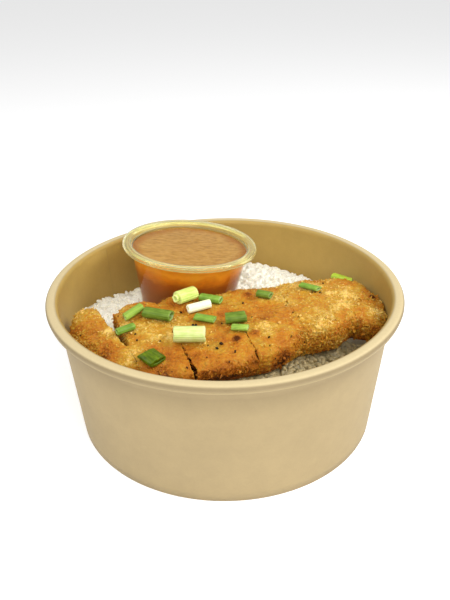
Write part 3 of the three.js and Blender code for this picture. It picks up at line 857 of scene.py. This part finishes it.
def make_bowl():
    """The side wall, lapped at one seam, with its top edge rolled over to the outside."""
    outside = kraft_material("kraft_outside", OUTSIDE_PAPER, 0.62)
    inside = kraft_material("kraft_inside", INSIDE_PAPER, 0.5)
    roll, crown, groove = rim_roll()
    foot_out = np.array((foot_radius, 0.0))
    foot_in = np.array((foot_radius - PAPER, 0.0))
    up = [foot_out + (roll[0] - foot_out) * i / WALL_STEPS for i in range(WALL_STEPS)]
    down = [roll[-1] + (foot_in - roll[-1]) * i / WALL_STEPS for i in range(1, WALL_STEPS + 1)]
    plain = [0.0] * WALL_STEPS
    shade = [WALL_SHADE * smooth_step(WALL_SHADE_FROM, 1.0, i / WALL_STEPS) for i in range(WALL_STEPS)]
    lap = SEAM_ANGLE + SEAM_LAP
    even = np.arange(BOWL_SECTORS) * 360 / BOWL_SECTORS
    close = [edge + step for edge in (SEAM_ANGLE, lap) for step in SEAM_STEPS]
    angle = np.sort(np.concatenate([even, close]))
    made, points = make_turned(
        "bowl", [*up, *roll, *down], np.radians(angle), [outside, inside], ("bowl_wall",)
    )
    sectors = len(angle)
    ring = np.repeat(np.arange(len(points) // sectors), sectors)
    around = np.tile(angle, len(points) // sectors)
    inner = ring >= WALL_STEPS + ROLL_STEPS
    outer = ring < WALL_STEPS
    radius = np.linalg.norm(points[:, :2], axis=1)
    # The paper laps over itself, so the wall steps in at its inner end and out at its outer end.
    step_in = smooth_step(SEAM_ANGLE - SEAM_EDGE, SEAM_ANGLE + SEAM_EDGE, around)
    step_in *= 1 - smooth_step(lap, lap + SEAM_FADE, around)
    step_out = smooth_step(lap - SEAM_EDGE, lap + SEAM_EDGE, around)
    step_out *= 1 - smooth_step(lap + 1, lap + 1 + SEAM_FADE, around)
    radius -= SEAM_IN * PAPER * step_in * inner
    radius += SEAM_OUT * PAPER * step_out * (outer & (ring > 0))
    # Slight waves of hand-stacked paper.
    wave = relief(unit(points * (1, 1, 0)) * WAVE_RADIUS, WAVE_SIZE, 5)
    radius += WAVE_HEIGHT * wave * points[:, 2] / BOWL_HEIGHT
    points[:, :2] = unit(points[:, :2]) * np.minimum(radius, cad_reach)[:, None]
    made.data.vertices.foreach_set("co", (points * MM).ravel())
    # Painted shade: a dark line along each end of the lap as its shadow, and the shade under the roll and in
    # its groove.
    shut = np.where(inner, SEAM_ANGLE, lap)
    seam = SEAM_DARKNESS * (np.abs(around - shut) < SEAM_MARK) * (outer | inner)
    dark = np.maximum(seam, np.repeat(shade + groove + plain, sectors))
    set_values(made, crown=np.repeat(plain + crown + plain, sectors), cut_end=dark)
    inside_from = (WALL_STEPS + ROLL_STEPS - INSIDE_PAPER_STEPS) * sectors
    second_material(made, lambda corners: min(corners) >= inside_from)
    make_base(inside)


def make_base(material):
    """The floor disc, set in above the foot, with its edge turned down against the wall."""
    top = BASE_RECESS + PAPER
    outline = [
        (0, BASE_RECESS),
        (wall_inside(BASE_RECESS) - GAP - BASE_SKIRT, BASE_RECESS),
        (wall_inside(BASE_SKIRT_FOOT) - GAP - BASE_SKIRT, BASE_SKIRT_FOOT),
        (wall_inside(BASE_SKIRT_FOOT) - GAP, BASE_SKIRT_FOOT),
        (wall_inside(top) - GAP, top),
        (0, top),
    ]
    angle = round_angles(BOWL_SECTORS)
    make_turned(
        "bowl_floor", rounded(outline, 0.5), angle, [material], ("bowl_base",), closed=False
    )


# ---------------------------------------------------------------- sauce pot
def upright_frame(node):
    """The frame of a turned CAD node: its axis up, its origin on the axis at its lowest height."""
    points, triangles, area, axes = face_axes(node)
    axis = axes[:, np.argmax(np.abs(axes[2]))]
    axis = axis * np.sign(axis[2])
    centre = (points[triangles].mean(axis=1) * area[:, None]).sum(axis=0) / area.sum()
    heights = (points - centre) @ axis
    across = unit(np.cross(axis, (0, 1, 0)))
    place = np.eye(4)
    place[:3, :3] = np.stack([across, np.cross(axis, across), axis], -1)
    place[:3, 3] = centre + axis * heights.min()
    return place


pot_frame = upright_frame("sauce_pot")


def pot_inside(height):
    """Inner radius of the pot's side."""
    return POT_BASE_RADIUS + (POT_BODY_RADIUS - POT_BASE_RADIUS) * height / SAUCE_LEVEL - POT_WALL


def make_pot_part(name, outline, materials, node):
    """A turned part of the pot. Returns the piece and its own-frame points."""
    return make_turned(name, outline, round_angles(POT_SECTORS), materials, (node,), pot_frame, False)


def make_pot():
    """The pot: a tapered side, a shoulder just over the sauce and a lip round its mouth."""
    clear = plastic_material("clear_pot", (1.0, 0.94, 0.74), 0.03, 1.2, (0.8, 0.6, 0.3))
    shoulder = SAUCE_LEVEL + 0.4
    neck = POT_SHOULDER_RADIUS - POT_WALL
    outline = [
        (POT_BASE_RADIUS, 0),
        (POT_BODY_RADIUS, shoulder - POT_WALL),
        (POT_SHOULDER_RADIUS, shoulder),
        (POT_SHOULDER_RADIUS, POT_HEIGHT - POT_LIP),
        (POT_LIP_RADIUS, POT_HEIGHT - POT_LIP),
        (POT_LIP_RADIUS, POT_HEIGHT),
        (neck, POT_HEIGHT),
        (neck, shoulder + 0.3),
        (pot_inside(SAUCE_LEVEL), shoulder),
        (pot_inside(POT_FLOOR), POT_FLOOR),
    ]
    outline = [(0, 0), *rounded(outline, 0.6, closed=True), (0, POT_FLOOR)]
    make_pot_part("pot_body", outline, [clear], "sauce_pot")


def make_lid():
    """The lid: a clear panel, sunk into the pot, in a milkier ring that goes over the pot's lip."""
    panel_clear = plastic_material("clear_panel", (1.0, 0.97, 0.85), 0.02, 1.15, (1.0, 1.0, 1.0))
    # The ring's yellow tint is a painted reflection of the kraft bowl round it, and its slight glow is
    # painted light.
    ring_clear = plastic_material("clear_lid", (1.0, 0.96, 0.55), 0.03, 1.32, (1.0, 1.0, 0.85), 0.95, 0.05)
    panel = SAUCE_LEVEL + 1
    under = POT_HEIGHT + GAP
    top = under + LID_THICKNESS
    skirt_foot = top - LID_HEIGHT
    skirt_inside = POT_LIP_RADIUS + GAP
    plug = LID_RADIUS - LID_RING_WIDTH
    window = plug - 0.7
    outline = [
        (0, panel),
        (window, panel),
        (plug, panel),
        (plug + 0.5, under),
        (skirt_inside, under),
        (skirt_inside, skirt_foot),
        (LID_RADIUS, skirt_foot),
        (LID_RADIUS, top - 1.2),
        (LID_RADIUS - 0.9, top - 0.1),
        (LID_RADIUS - 2, top),
        (plug + 0.4, top - 0.2),
        (plug - 0.4, top - 1),
        (plug - 0.8, panel + POT_WALL),
        (window, panel + POT_WALL),
        (0, panel + POT_WALL),
    ]
    made, own = make_pot_part(
        "pot_cover", rounded(outline, 0.7), [panel_clear, ring_clear], "pot_lid"
    )
    reach = np.linalg.norm(own[:, :2], axis=1)
    second_material(made, lambda corners: max(reach[i] for i in corners) > window)


def make_sauce():
    """The sauce, which reaches just into the pot's wall, with a slight meniscus."""
    into = 0.2
    side_steps = 24
    ring_shares = [0.985, 0.96, 0.92, 0.86, 0.78, 0.68, 0.56, 0.43, 0.3, 0.17, 0.08]
    foot = POT_FLOOR - into
    brim = pot_inside(SAUCE_LEVEL) + into
    heights = np.linspace(foot, SAUCE_LEVEL, side_steps + 1)
    side = [(pot_inside(height) + into, height) for height in heights]
    steepness = 30  # of the meniscus
    top = []
    for share in ring_shares:
        top.append((brim * share, SAUCE_LEVEL - MENISCUS * (1 - math.exp((share - 1) * steepness))))
    outline = [(0, foot), *side, *top, (0, SAUCE_LEVEL - MENISCUS)]
    materials = [sauce_side_material(), sauce_top_material()]
    made, own = make_pot_part("sauce_fill", outline, materials, "sauce")
    set_values(made, level=own[:, 2] / SAUCE_LEVEL, share=np.linalg.norm(own[:, :2], axis=1) / brim)
    brink = SAUCE_LEVEL - 1.2 * MENISCUS
    second_material(made, lambda corners: min(own[i, 2] for i in corners) > brink)


# ---------------------------------------------------------------- cutlet
def fine_copy(node, voxel):
    """A CAD node's form as an even mesh of small quads: corners in millimetres, quads and edges."""
    working = new_object("working_copy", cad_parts[node].data.copy())
    remesh = working.modifiers.new("fine", "REMESH")
    remesh.mode = "VOXEL"
    remesh.voxel_size = voxel * MM
    mesh = bpy.data.meshes.new_from_object(working.evaluated_get(bpy.context.evaluated_depsgraph_get()))
    bpy.data.objects.remove(working)
    quads = read(mesh.loops, "vertex_index", 1).reshape(-1, 4)
    return read(mesh.vertices, "co", 3, float) / MM, quads, read(mesh.edges, "vertices", 2)


def smoothed(points, edges, rounds, hold):
    """Each corner drawn towards its neighbours, but for those that are held (1 is fixed)."""
    ends = np.concatenate([edges, edges[:, ::-1]])
    count = np.bincount(ends[:, 0], minlength=len(points))[:, None]
    free = 0.6 * (1 - hold)[:, None]
    for _ in range(rounds):
        around = gathered(ends[:, 0], points[ends[:, 1]], len(points)) / count
        points = points + free * (around - points)
    return points


slice_meshes = [node_mesh(name) for name in SLICE_NAMES]
whole_crust = joined_tree(slice_meshes)


def cut_faces(index, others):
    """A slice's CAD corners, its triangles cut by the knife, which face the other slices, and the rest."""
    points, triangles = slice_meshes[index]
    facing = unit(triangle_normals(points, triangles))
    cut = np.zeros(len(triangles), bool)
    for other in others:
        across = slice_meshes[other][0].mean(axis=0) - points.mean(axis=0)
        across[2] = 0
        cut |= (facing @ unit(across) > 0.76) & (np.abs(facing[:, 2]) < 0.5)
    return points, triangles[cut], triangles[~cut]


def on_crust(px, py):
    """The place on the cutlet that a pixel of the photo's frame shows, or None, and the normal there."""
    place, normal, _, _ = whole_crust.ray_cast(CAMERA_PLACE, pixel_ray(px, py))
    return place, normal


def marked(rows):
    """Rows that start with a pixel, with the place on the cutlet that it shows instead."""
    found = [(on_crust(px, py)[0], rest) for px, py, *rest in rows]
    return [(np.array(place), *rest) for place, rest in found if place]


def make_slices():
    """Each slice with a craggy crumb crust. Returns the crust that crumbs can lie on."""
    crust = crust_material()
    spots = marked(CRUST_SPOTS)
    holes = marked(OPEN_CUTS)
    onions = joined_tree([node_mesh(name) for name in ONION_NAMES])
    return [make_slice(index, crust, spots, holes, onions) for index in range(len(SLICE_NAMES))]


def make_slice(index, crust, spots, holes, onions):
    """One slice. Returns its corners, the quads that crumbs can lie on, its normals, and its browning with
    painted gap shade.
    """
    name = SLICE_NAMES[index]
    points, quads, edges = fine_copy(name, CRUST_VOXEL)
    beside = [other for other in (index - 1, index + 1) if 0 <= other < len(SLICE_NAMES)]
    cad_points, knife, skin = cut_faces(index, beside)
    from_cut = distances(bvh_of(cad_points, knife), points, FARTHEST)
    from_crust = distances(bvh_of(cad_points, skin), points, FARTHEST)
    on_cut = from_cut < CUT_FACE
    points = smoothed(points, edges, SMOOTHING_ROUNDS, np.where(from_cut < CUT_FACE + 0.2, 1.0, 0.0))
    normals = corner_normals(points, quads)
    flank = smooth_step(-0.1, 0.75, 1 - normals[:, 2])

    rise = np.zeros(len(points))
    toast = np.zeros(len(points))
    for place, radius, lift, brown in spots:
        share = near(points, place, radius)
        rise += lift * share
        toast += brown * share
    # The crumb comes up to the spring onion that lies on it.
    pressed = smooth_step(1.9, 0.7, distances(onions, points, 2.0))
    height = crust_height(points, flank) * (1 - pressed) + CRUST_AT_ONION * pressed
    # It is lower along the cuts and under the cutlet, and the cut faces are only torn a little.
    by_cut = smooth_step(0.0, 1.2, from_cut) * 0.6 + 0.4
    flat = smooth_step(-0.75, -0.95, normals[:, 2])
    tear = layered(points, CUT_TEARS) - CRUST_SUNK
    move = np.where(on_cut, tear, (height + rise) * by_cut * (1 - 0.8 * flat))
    shaped = points + normals * move[:, None]
    for other in beside:
        shaped += towards_neighbour(index, other, points, holes)
    keep_in_bowl(shaped, CRUST_TO_WALL)

    toast += TOAST + layered(points, TOAST_PATCHES)
    toast += TOAST_FLANK * flank - TOAST_HOLLOW * height + TOAST_UNDER * (normals[:, 2] < -0.5)
    toast += TOAST_CUT * on_cut
    # The faces deep in an open cut are darker: painted shade in the gap.
    scorch = np.zeros(len(points))
    for place, radius in holes:
        scorch = np.maximum(scorch, near(points, place, 1.8 * radius, 4))
    toast += TOAST_SCORCH * scorch * smooth_step(0.5, 1.7, from_crust) * on_cut
    made = make_piece(f"{name}_crusted", shaped, quads, [crust], (name,))
    set_values(made, toast=toast)
    keep = normals[quads, 2].mean(axis=1) > -0.55
    return shaped, quads[keep], normals, toast


def towards_neighbour(index, other, points, holes):
    """The move that closes a cut: each corner near it goes just over half way to the neighbour's cut face."""
    own_tree = bvh_of(*cut_faces(index, [other])[:2])
    other_tree = bvh_of(*cut_faces(other, [index])[:2])
    move = np.zeros(points.shape)
    for i, point in enumerate(points):
        here, _, _, away = own_tree.find_nearest(point, CUT_REACH)
        if here is None:
            continue
        across, _, _, gap = other_tree.find_nearest(here)
        if gap > WIDEST_CLOSED:
            continue
        share = math.exp(-((away / CUT_FADE) ** 2)) * float(smooth_step(WIDEST_CLOSED, CLOSED_GAP, gap))
        for place, radius in holes:
            share *= 1 - near(point, place, radius, 4)
        move[i] = np.array(across - here) * CUT_MEET * share
    return move


# Twelve corners and twenty faces of an icosahedron, by its golden rectangles.
GOLDEN = (1 + 5 ** 0.5) / 2
ICO_POINTS = unit(
    np.array(
        [np.roll((0, a, b * GOLDEN), turn) for turn in range(3) for a in (-1, 1) for b in (-1, 1)], float
    )
)


def ico_faces():
    """The triples of corners that are all one side apart, facing out."""
    side = min(np.linalg.norm(ICO_POINTS[0] - p) for p in ICO_POINTS[1:]) * 1.01
    faces = []
    for a, b, c in itertools.combinations(range(12), 3):
        corners = ICO_POINTS[[a, b, c]]
        if all(np.linalg.norm(corners[i] - corners[i - 1]) < side for i in range(3)):
            out = np.dot(np.cross(corners[1] - corners[0], corners[2] - corners[0]), corners.sum(axis=0))
            faces.append((a, b, c) if out > 0 else (a, c, b))
    return np.array(faces)


ICO_FACES = ico_faces()

# A thin flake: six corners and eight faces, long and flat.
FLAKE_POINTS = np.array(
    [(1.25, 0, 0), (-1.1, 0.25, 0), (0.1, 0.75, 0.1), (0, -0.7, 0.1), (0, 0, 0.32), (0.1, 0, -0.25)]
)
FLAKE_FACES = np.array(
    [(0, 2, 4), (2, 1, 4), (1, 3, 4), (3, 0, 4), (0, 5, 2), (2, 5, 1), (1, 5, 3), (3, 5, 0)]
)


def random_turns(random, count):
    """Random rotation matrices."""
    w, x, y, z = unit(random.normal(size=(count, 4))).T
    rows = [
        [1 - 2 * (y * y + z * z), 2 * (x * y - z * w), 2 * (x * z + y * w)],
        [2 * (x * y + z * w), 1 - 2 * (x * x + z * z), 2 * (y * z - x * w)],
        [2 * (x * z - y * w), 2 * (y * z + x * w), 1 - 2 * (x * x + y * y)],
    ]
    return np.moveaxis(np.array(rows), -1, 0)


def chips(random, centres, sizes, body, body_faces):
    """Irregular chips, each a squashed copy of a body, turned at random, with its corners pushed about."""
    count = len(centres)
    turns = random_turns(random, count)
    wobble = 1 + 0.3 * random.uniform(-1, 1, (count, len(body), 1))
    squash = np.stack([np.ones(count), random.uniform(0.5, 0.9, count), random.uniform(0.35, 0.8, count)], -1)
    shapes = body[None] * wobble * squash[:, None]
    points = np.einsum("nij,nkj->nki", turns, shapes * sizes[:, None, None]) + centres[:, None]
    faces = body_faces[None] + len(body) * np.arange(count)[:, None, None]
    return points.reshape(-1, 3), faces.reshape(-1, 3)


def make_crumbs(ground):
    """Loose grains of crumb and thin flakes that stand out of the crust, thicker on its flanks."""
    random = np.random.default_rng(7)
    centres = np.concatenate([points[quads].mean(axis=1) for points, quads, _, _ in ground])
    normals = np.concatenate([unit(normal[quads].mean(axis=1)) for _, quads, normal, _ in ground])
    # Each crumb's browning comes from the crust under it, painted gap shade included.
    toast = np.concatenate([value[quads].mean(axis=1) for _, quads, _, value in ground])
    flank = smooth_step(0.1, 0.7, 1 - normals[:, 2])
    clump = smooth_step(-0.25, 0.5, relief(centres, 7, 77))
    shaggy = np.minimum(sum(near(centres, place, radius) for place, radius in marked(SHAGGY)), 1)
    crumbs = (0.5 + 0.7 * flank) * (0.4 + clump)
    flakes = 0.12 + 0.5 * flank * clump + 2.2 * shaggy
    spread = 0.4  # of the sizes, which are at most `largest` times the usual one
    largest = 3
    sunk = 0.3
    paler = 0.16
    uneven = 0.12
    for name, (count, size, stand), weight, body, body_faces in (
        ("crust_crumbs", CRUMBS, crumbs, ICO_POINTS, ICO_FACES),
        ("crust_flakes", FLAKES, flakes, FLAKE_POINTS, FLAKE_FACES),
    ):
        picked = random.choice(len(centres), count, replace=False, p=weight / weight.sum())
        larger = 1 + 0.25 * flank[picked] + 0.3 * shaggy[picked]
        sizes = np.minimum(size * np.exp(spread * random.normal(size=count)) * larger, largest * size)
        lift = random.uniform(-sunk, stand + 0.1, count) * sizes
        places = centres[picked] + normals[picked] * lift[:, None]
        points, faces = chips(random, places, sizes, body, body_faces)
        keep_in_bowl(points, CRUMB_TO_WALL)
        tone = toast[picked] + random.normal(-paler, uneven, count) - 0.06 * shaggy[picked]
        tone += 0.1 * flank[picked]
        made = make_piece(name, points, faces, [crumb_material()], smooth=False)
        set_values(made, toast=np.repeat(tone, len(body)))


def make_specks():
    """Small burnt bits lying in the crust."""
    random = np.random.default_rng(19)
    found = [on_crust(px, py) for px, py in BURNT_SPECKS]
    found = np.array([(place, normal) for place, normal in found if place])
    centres = found[:, 0] + found[:, 1] * SPECK_RISE
    size = random.uniform(*SPECK_SIZES, len(centres))
    size[:LARGE_SPECKS] = LARGE_SPECK
    points, faces = chips(random, centres, size, ICO_POINTS, ICO_FACES)
    make_piece("burnt_specks", points, faces, [burnt_material()], smooth=False)


# ---------------------------------------------------------------- rice
def rice_at_wall(degrees):
    """Height of the rice where it meets the wall."""
    return np.interp(degrees, *zip(*RICE_AT_WALL))


def rice_level(x, y):
    """Height of the rice's surface."""
    at_wall = rice_at_wall(np.degrees(np.arctan2(y, x)) % 360)
    share = np.minimum(np.hypot(x, y) / wall_inside(at_wall), 1)
    aside = ((x - HEAP_PLACE[0]) / HEAP_SIZE[0]) ** 2 + ((y - HEAP_PLACE[1]) / HEAP_SIZE[1]) ** 2
    return RICE_MIDDLE + (at_wall - RICE_MIDDLE) * share**2.5 + HEAP * np.exp(-aside)


def juices(points):
    """How much painted shadow the rice has, from 0 to 1: most in front of the cutlet."""
    return 0.9 * smooth_step(4, -20, points[:, 1])


def make_rice_core(material):
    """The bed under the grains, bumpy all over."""
    sectors = BED_SECTORS
    angle = round_angles(sectors)
    at_wall = rice_at_wall(np.degrees(angle))
    floor = BASE_RECESS + PAPER + GAP
    rows = [ring_points(wall_inside(height) - GAP, height, angle) for height in (floor, *BED_SIDE)]
    size, high, seed = BED_BUMPS
    for share in np.linspace(1, BED_MIDDLE, BED_ROWS):
        flat = ring_points((wall_inside(at_wall) - GAP) * share, 0, angle)
        bumps = high * (0.45 - cell_distance(flat, size, seed)) + layered(flat, BED_SWELLS)
        flat[:, 2] = rice_level(flat[:, 0], flat[:, 1]) - BED_DROP + bumps
        rows.append(flat)
    last = (len(rows) - 1) * sectors
    points = np.concatenate([*rows, [[0, 0, floor]], [[0, 0, rice_level(0, 0) - BED_DROP]]])
    faces = [cell for low in range(0, last, sectors) for cell in band(low, low + sectors, sectors)]
    for k, after, high_after, high_k in band(0, last, sectors):
        faces.append((last + sectors, after, k))
        faces.append((last + sectors + 1, high_k, high_after))
    made = make_piece("rice_bed", points, faces, [material], ("rice",))
    set_values(made, stain=juices(points))


def grain_shape():
    """One plump grain along X, slightly bent and fuller at one end."""
    around = 8
    along = 7
    points = [(-1, 0, 0)]
    for i in range(1, along):
        t = -math.cos(math.pi * i / along)
        full = (1 - abs(t) ** 2.6) ** 0.5 * (1 + 0.1 * t)
        for k in range(around):
            angle = 2 * math.pi * k / around
            points.append((t, full * math.cos(angle) + 0.16 * (t * t - 0.4), full * math.sin(angle)))
    points.append((1, 0, 0))
    last = len(points) - 1
    faces = []
    for i in range(along - 2):
        for a, b, c, d in band(1 + i * around, 1 + (i + 1) * around, around):
            faces += [(a, b, c), (a, c, d)]
    for a, b, c, d in band(1, last - around, around):
        faces += [(0, b, a), (last, d, c)]
    return np.array(points), np.array(faces)


def make_rice_grains(material):
    """Whole grains over the bed wherever it isn't under the pot or well under the cutlet."""
    random = np.random.default_rng(23)
    shape, shape_faces = grain_shape()
    shape = shape * (GRAIN_LENGTH / 2, GRAIN_WIDTH / 2, GRAIN_WIDTH / 2 * GRAIN_FLATNESS)
    pot_place = pot_frame[:3, 3]
    pot_axis = pot_frame[:3, 2]
    ring = [Vector(step) for step in ring_points(UNDER_CUTLET, 0, round_angles(6))]
    above = Vector((0, 0, 1))
    parts = []
    while len(parts) < GRAIN_COUNT:
        degrees = 360 * random.random()
        radius = (wall_inside(rice_at_wall(degrees)) - GRAIN_TO_WALL) * math.sqrt(random.random())
        x = radius * math.cos(math.radians(degrees))
        y = radius * math.sin(math.radians(degrees))
        place = np.array((x, y, rice_level(x, y) + random.uniform(*GRAIN_HEIGHTS)))
        yaw = math.pi * random.random() * 2
        pitch = GRAIN_TILT * random.normal()
        roll = 2 * math.pi * random.random()
        size = random.uniform(*GRAIN_SIZES)
        height = (place - pot_place) @ pot_axis
        from_axis = np.linalg.norm(place - pot_place - height * pot_axis)
        if from_axis < pot_inside(height) + POT_WALL + GRAIN_TO_POT:
            continue
        start = Vector((x, y, UNDER_CUTLET_FROM))
        if all(whole_crust.ray_cast(start + step, above)[0] for step in (Vector(), *ring)):
            continue
        turn = Matrix.Rotation(yaw, 3, "Z") @ Matrix.Rotation(pitch, 3, "Y") @ Matrix.Rotation(roll, 3, "X")
        corners = shape * size @ np.array(turn).T + place
        over = (np.linalg.norm(corners[:, :2], axis=1) - wall_inside(corners[:, 2])).max() + RICE_TO_WALL
        if over > 0:
            corners[:, :2] -= unit(place[:2]) * over
        parts.append(corners)
    points = np.concatenate(parts)
    faces = np.concatenate([shape_faces + i * len(shape) for i in range(len(parts))])
    made = make_piece("rice_grains", points, faces, [material], ("rice",))
    set_values(made, stain=juices(points))


# ---------------------------------------------------------------- spring onion
def lying_frame(node):
    """How a CAD piece of spring onion lies: its centre, axes, width and height, and how its ends slope."""
    points, _, _, axes = face_axes(node)
    along = axes[:, 0] * (1 if axes[0, 0] > 0 else -1)
    across = unit(np.cross((0, 0, 1), along))
    turn = np.stack([along, across, np.cross(along, across)])
    own = points @ turn.T
    middle = (own.min(axis=0) + own.max(axis=0)) / 2
    own -= middle
    width = 2 * own[:, 1].max()
    height = 2 * own[:, 2].max()
    # Each end is a plane: how far it runs on for each unit across and each unit up, and where it crosses
    # the axis.
    ends = []
    for side in (own[:, 0] < 0, own[:, 0] > 0):
        plane = np.column_stack([own[side, 1:], np.ones(side.sum())])
        ends.append(np.linalg.lstsq(plane, own[side, 0], rcond=None)[0])
    return middle @ turn, turn, (width, height), ends


def tube(width, height, wall, ribs, depth, ends, seed):
    """A hollow leaf along X: corners, faces, and each corner's angle, share along and share of the wall."""
    around = 72
    along = 16
    ragged_by = 0.22
    angle = round_angles(around)
    lip = [0.0, 0.35, 0.75, 1.0]
    outside = [(i / along, 0.0) for i in range(1, along)]
    inside = [(1 - i / along, 1.0) for i in range(1, along)]
    loop = [*((0.0, inset) for inset in lip[::-1]), *outside, *((1.0, inset) for inset in lip), *inside]
    ragged = relief(np.stack([np.cos(angle), np.sin(angle), np.full(around, seed)], -1), 0.5, seed)
    points = []
    for share, inset in loop:
        ridge = 1 + depth * np.cos(ribs * angle + 0.6 * np.sin(3 * angle + seed)) * (1 - 0.5 * inset)
        y = (width / 2 * ridge - wall * inset) * np.cos(angle)
        z = (height / 2 * ridge - wall * inset) * np.sin(angle)
        low, high = (a * y + b * z + c for a, b, c in ends)
        round_edge = 0.12 * math.sin(math.pi * inset) * (share - 0.5) * 2
        x = low + (high - low) * share + round_edge + ragged_by * ragged * (2 * share - 1) ** 3
        points.append(np.stack([x, y, z], -1))
    count = len(loop)
    faces = []
    for i in range(count):
        for a, b, c, d in band(i * around, (i + 1) % count * around, around):
            faces.append((b, c, d, a))
    shares, insets = (np.repeat(values, around) for values in zip(*loop))
    return np.concatenate(points), faces, np.tile(angle / (2 * np.pi), count), shares, insets


def make_onions():
    """The cut pieces of spring onion, each where its CAD piece lies."""
    materials = {
        name: onion_material(f"onion_{name}", light, dark, roughness)
        for name, (_, light, dark, roughness, _) in ONION_FINISHES.items()
    }
    for seed, (name, (finish, ribs, depth)) in enumerate(zip(ONION_NAMES, ONION_LOOKS)):
        slot, *_, wall = ONION_FINISHES[finish]
        centre, turn, (width, height), ends = lying_frame(name)
        parts = [(f"{name}_leaf", width, height, wall, ends, (name,))]
        if name in ONION_CORES:
            # A younger leaf that lies inside the outer one and stands out at one end.
            thick, past = ONION_CORES[name]
            (*_, low), (*_, high) = ends
            core_ends = [(0, 0, low - past), (0, 0, high - 1)]
            parts.append((f"{name}_core", thick, thick, CORE_WALL, core_ends, ()))
        for piece, across, tall, thickness, slopes, stands_for in parts:
            points, faces, rounds, alongs, insets = tube(across, tall, thickness, ribs, depth, slopes, seed)
            if finish == "dark":
                points = creased(points, insets)
            made = make_piece(piece, points @ turn + centre, faces, [materials[finish]], stands_for)
            near_end = np.exp(-((1 - np.abs(2 * alongs - 1)) / END_REACH))
            pale = (INSIDE_PALE * insets + END_PALE * near_end) * (finish != "dark")
            set_values(made, round=rounds, along=alongs, pale=pale)


def creased(points, insets):
    """A leaf pressed flat, with a fold along its middle."""
    width = 0.5
    depth = 0.45
    fold = np.exp(-((points[:, 1] / width) ** 2))
    shaped = points.copy()
    shaped[:, 2] -= depth * fold * np.sign(points[:, 2]) * (1 - insets)
    return shaped


# ---------------------------------------------------------------- stage
def make_stage():
    """A pale floor, soft light all round, and three large soft lights."""
    mesh = bpy.data.meshes.new("floor")
    corners = [(x * FLOOR_HALF, y * FLOOR_HALF, 0) for x, y in ((-1, -1), (1, -1), (1, 1), (-1, 1))]
    mesh.from_pydata(corners, [], [(0, 1, 2, 3)])
    mesh.materials.append(floor_material())
    floor = new_object("floor", mesh)

    world = bpy.data.worlds.new("studio")
    bpy.context.scene.world = world
    world.use_nodes = True
    background = world.node_tree.nodes["Background"]
    background.inputs["Color"].default_value = (1, 1, 1, 1)
    background.inputs["Strength"].default_value = WORLD_LIGHT

    for name, place, size, power_in_watts in LIGHTS:
        data = bpy.data.lights.new(name, "AREA")
        data.shape = "DISK"
        data.size = size
        data.energy = power_in_watts
        light = new_object(name, data)
        light.location = place
        light.rotation_mode = "QUATERNION"
        light.rotation_quaternion = (LIGHTS_AIM - Vector(place)).to_track_quat("-Z", "Y")

    bpy.context.scene.view_settings.view_transform = "Standard"


# ---------------------------------------------------------------- the meal
make_camera()
make_stage()
make_bowl()
make_pot()
make_lid()
make_sauce()
crust_ground = make_slices()
make_crumbs(crust_ground)
make_specks()
make_rice_core(rice_material("rice_bed", (0.72, 0.69, 0.58), (0.78, 0.75, 0.65)))
make_rice_grains(rice_material("rice_grain", (0.75, 0.725, 0.62), (0.8, 0.775, 0.68)))
make_onions()
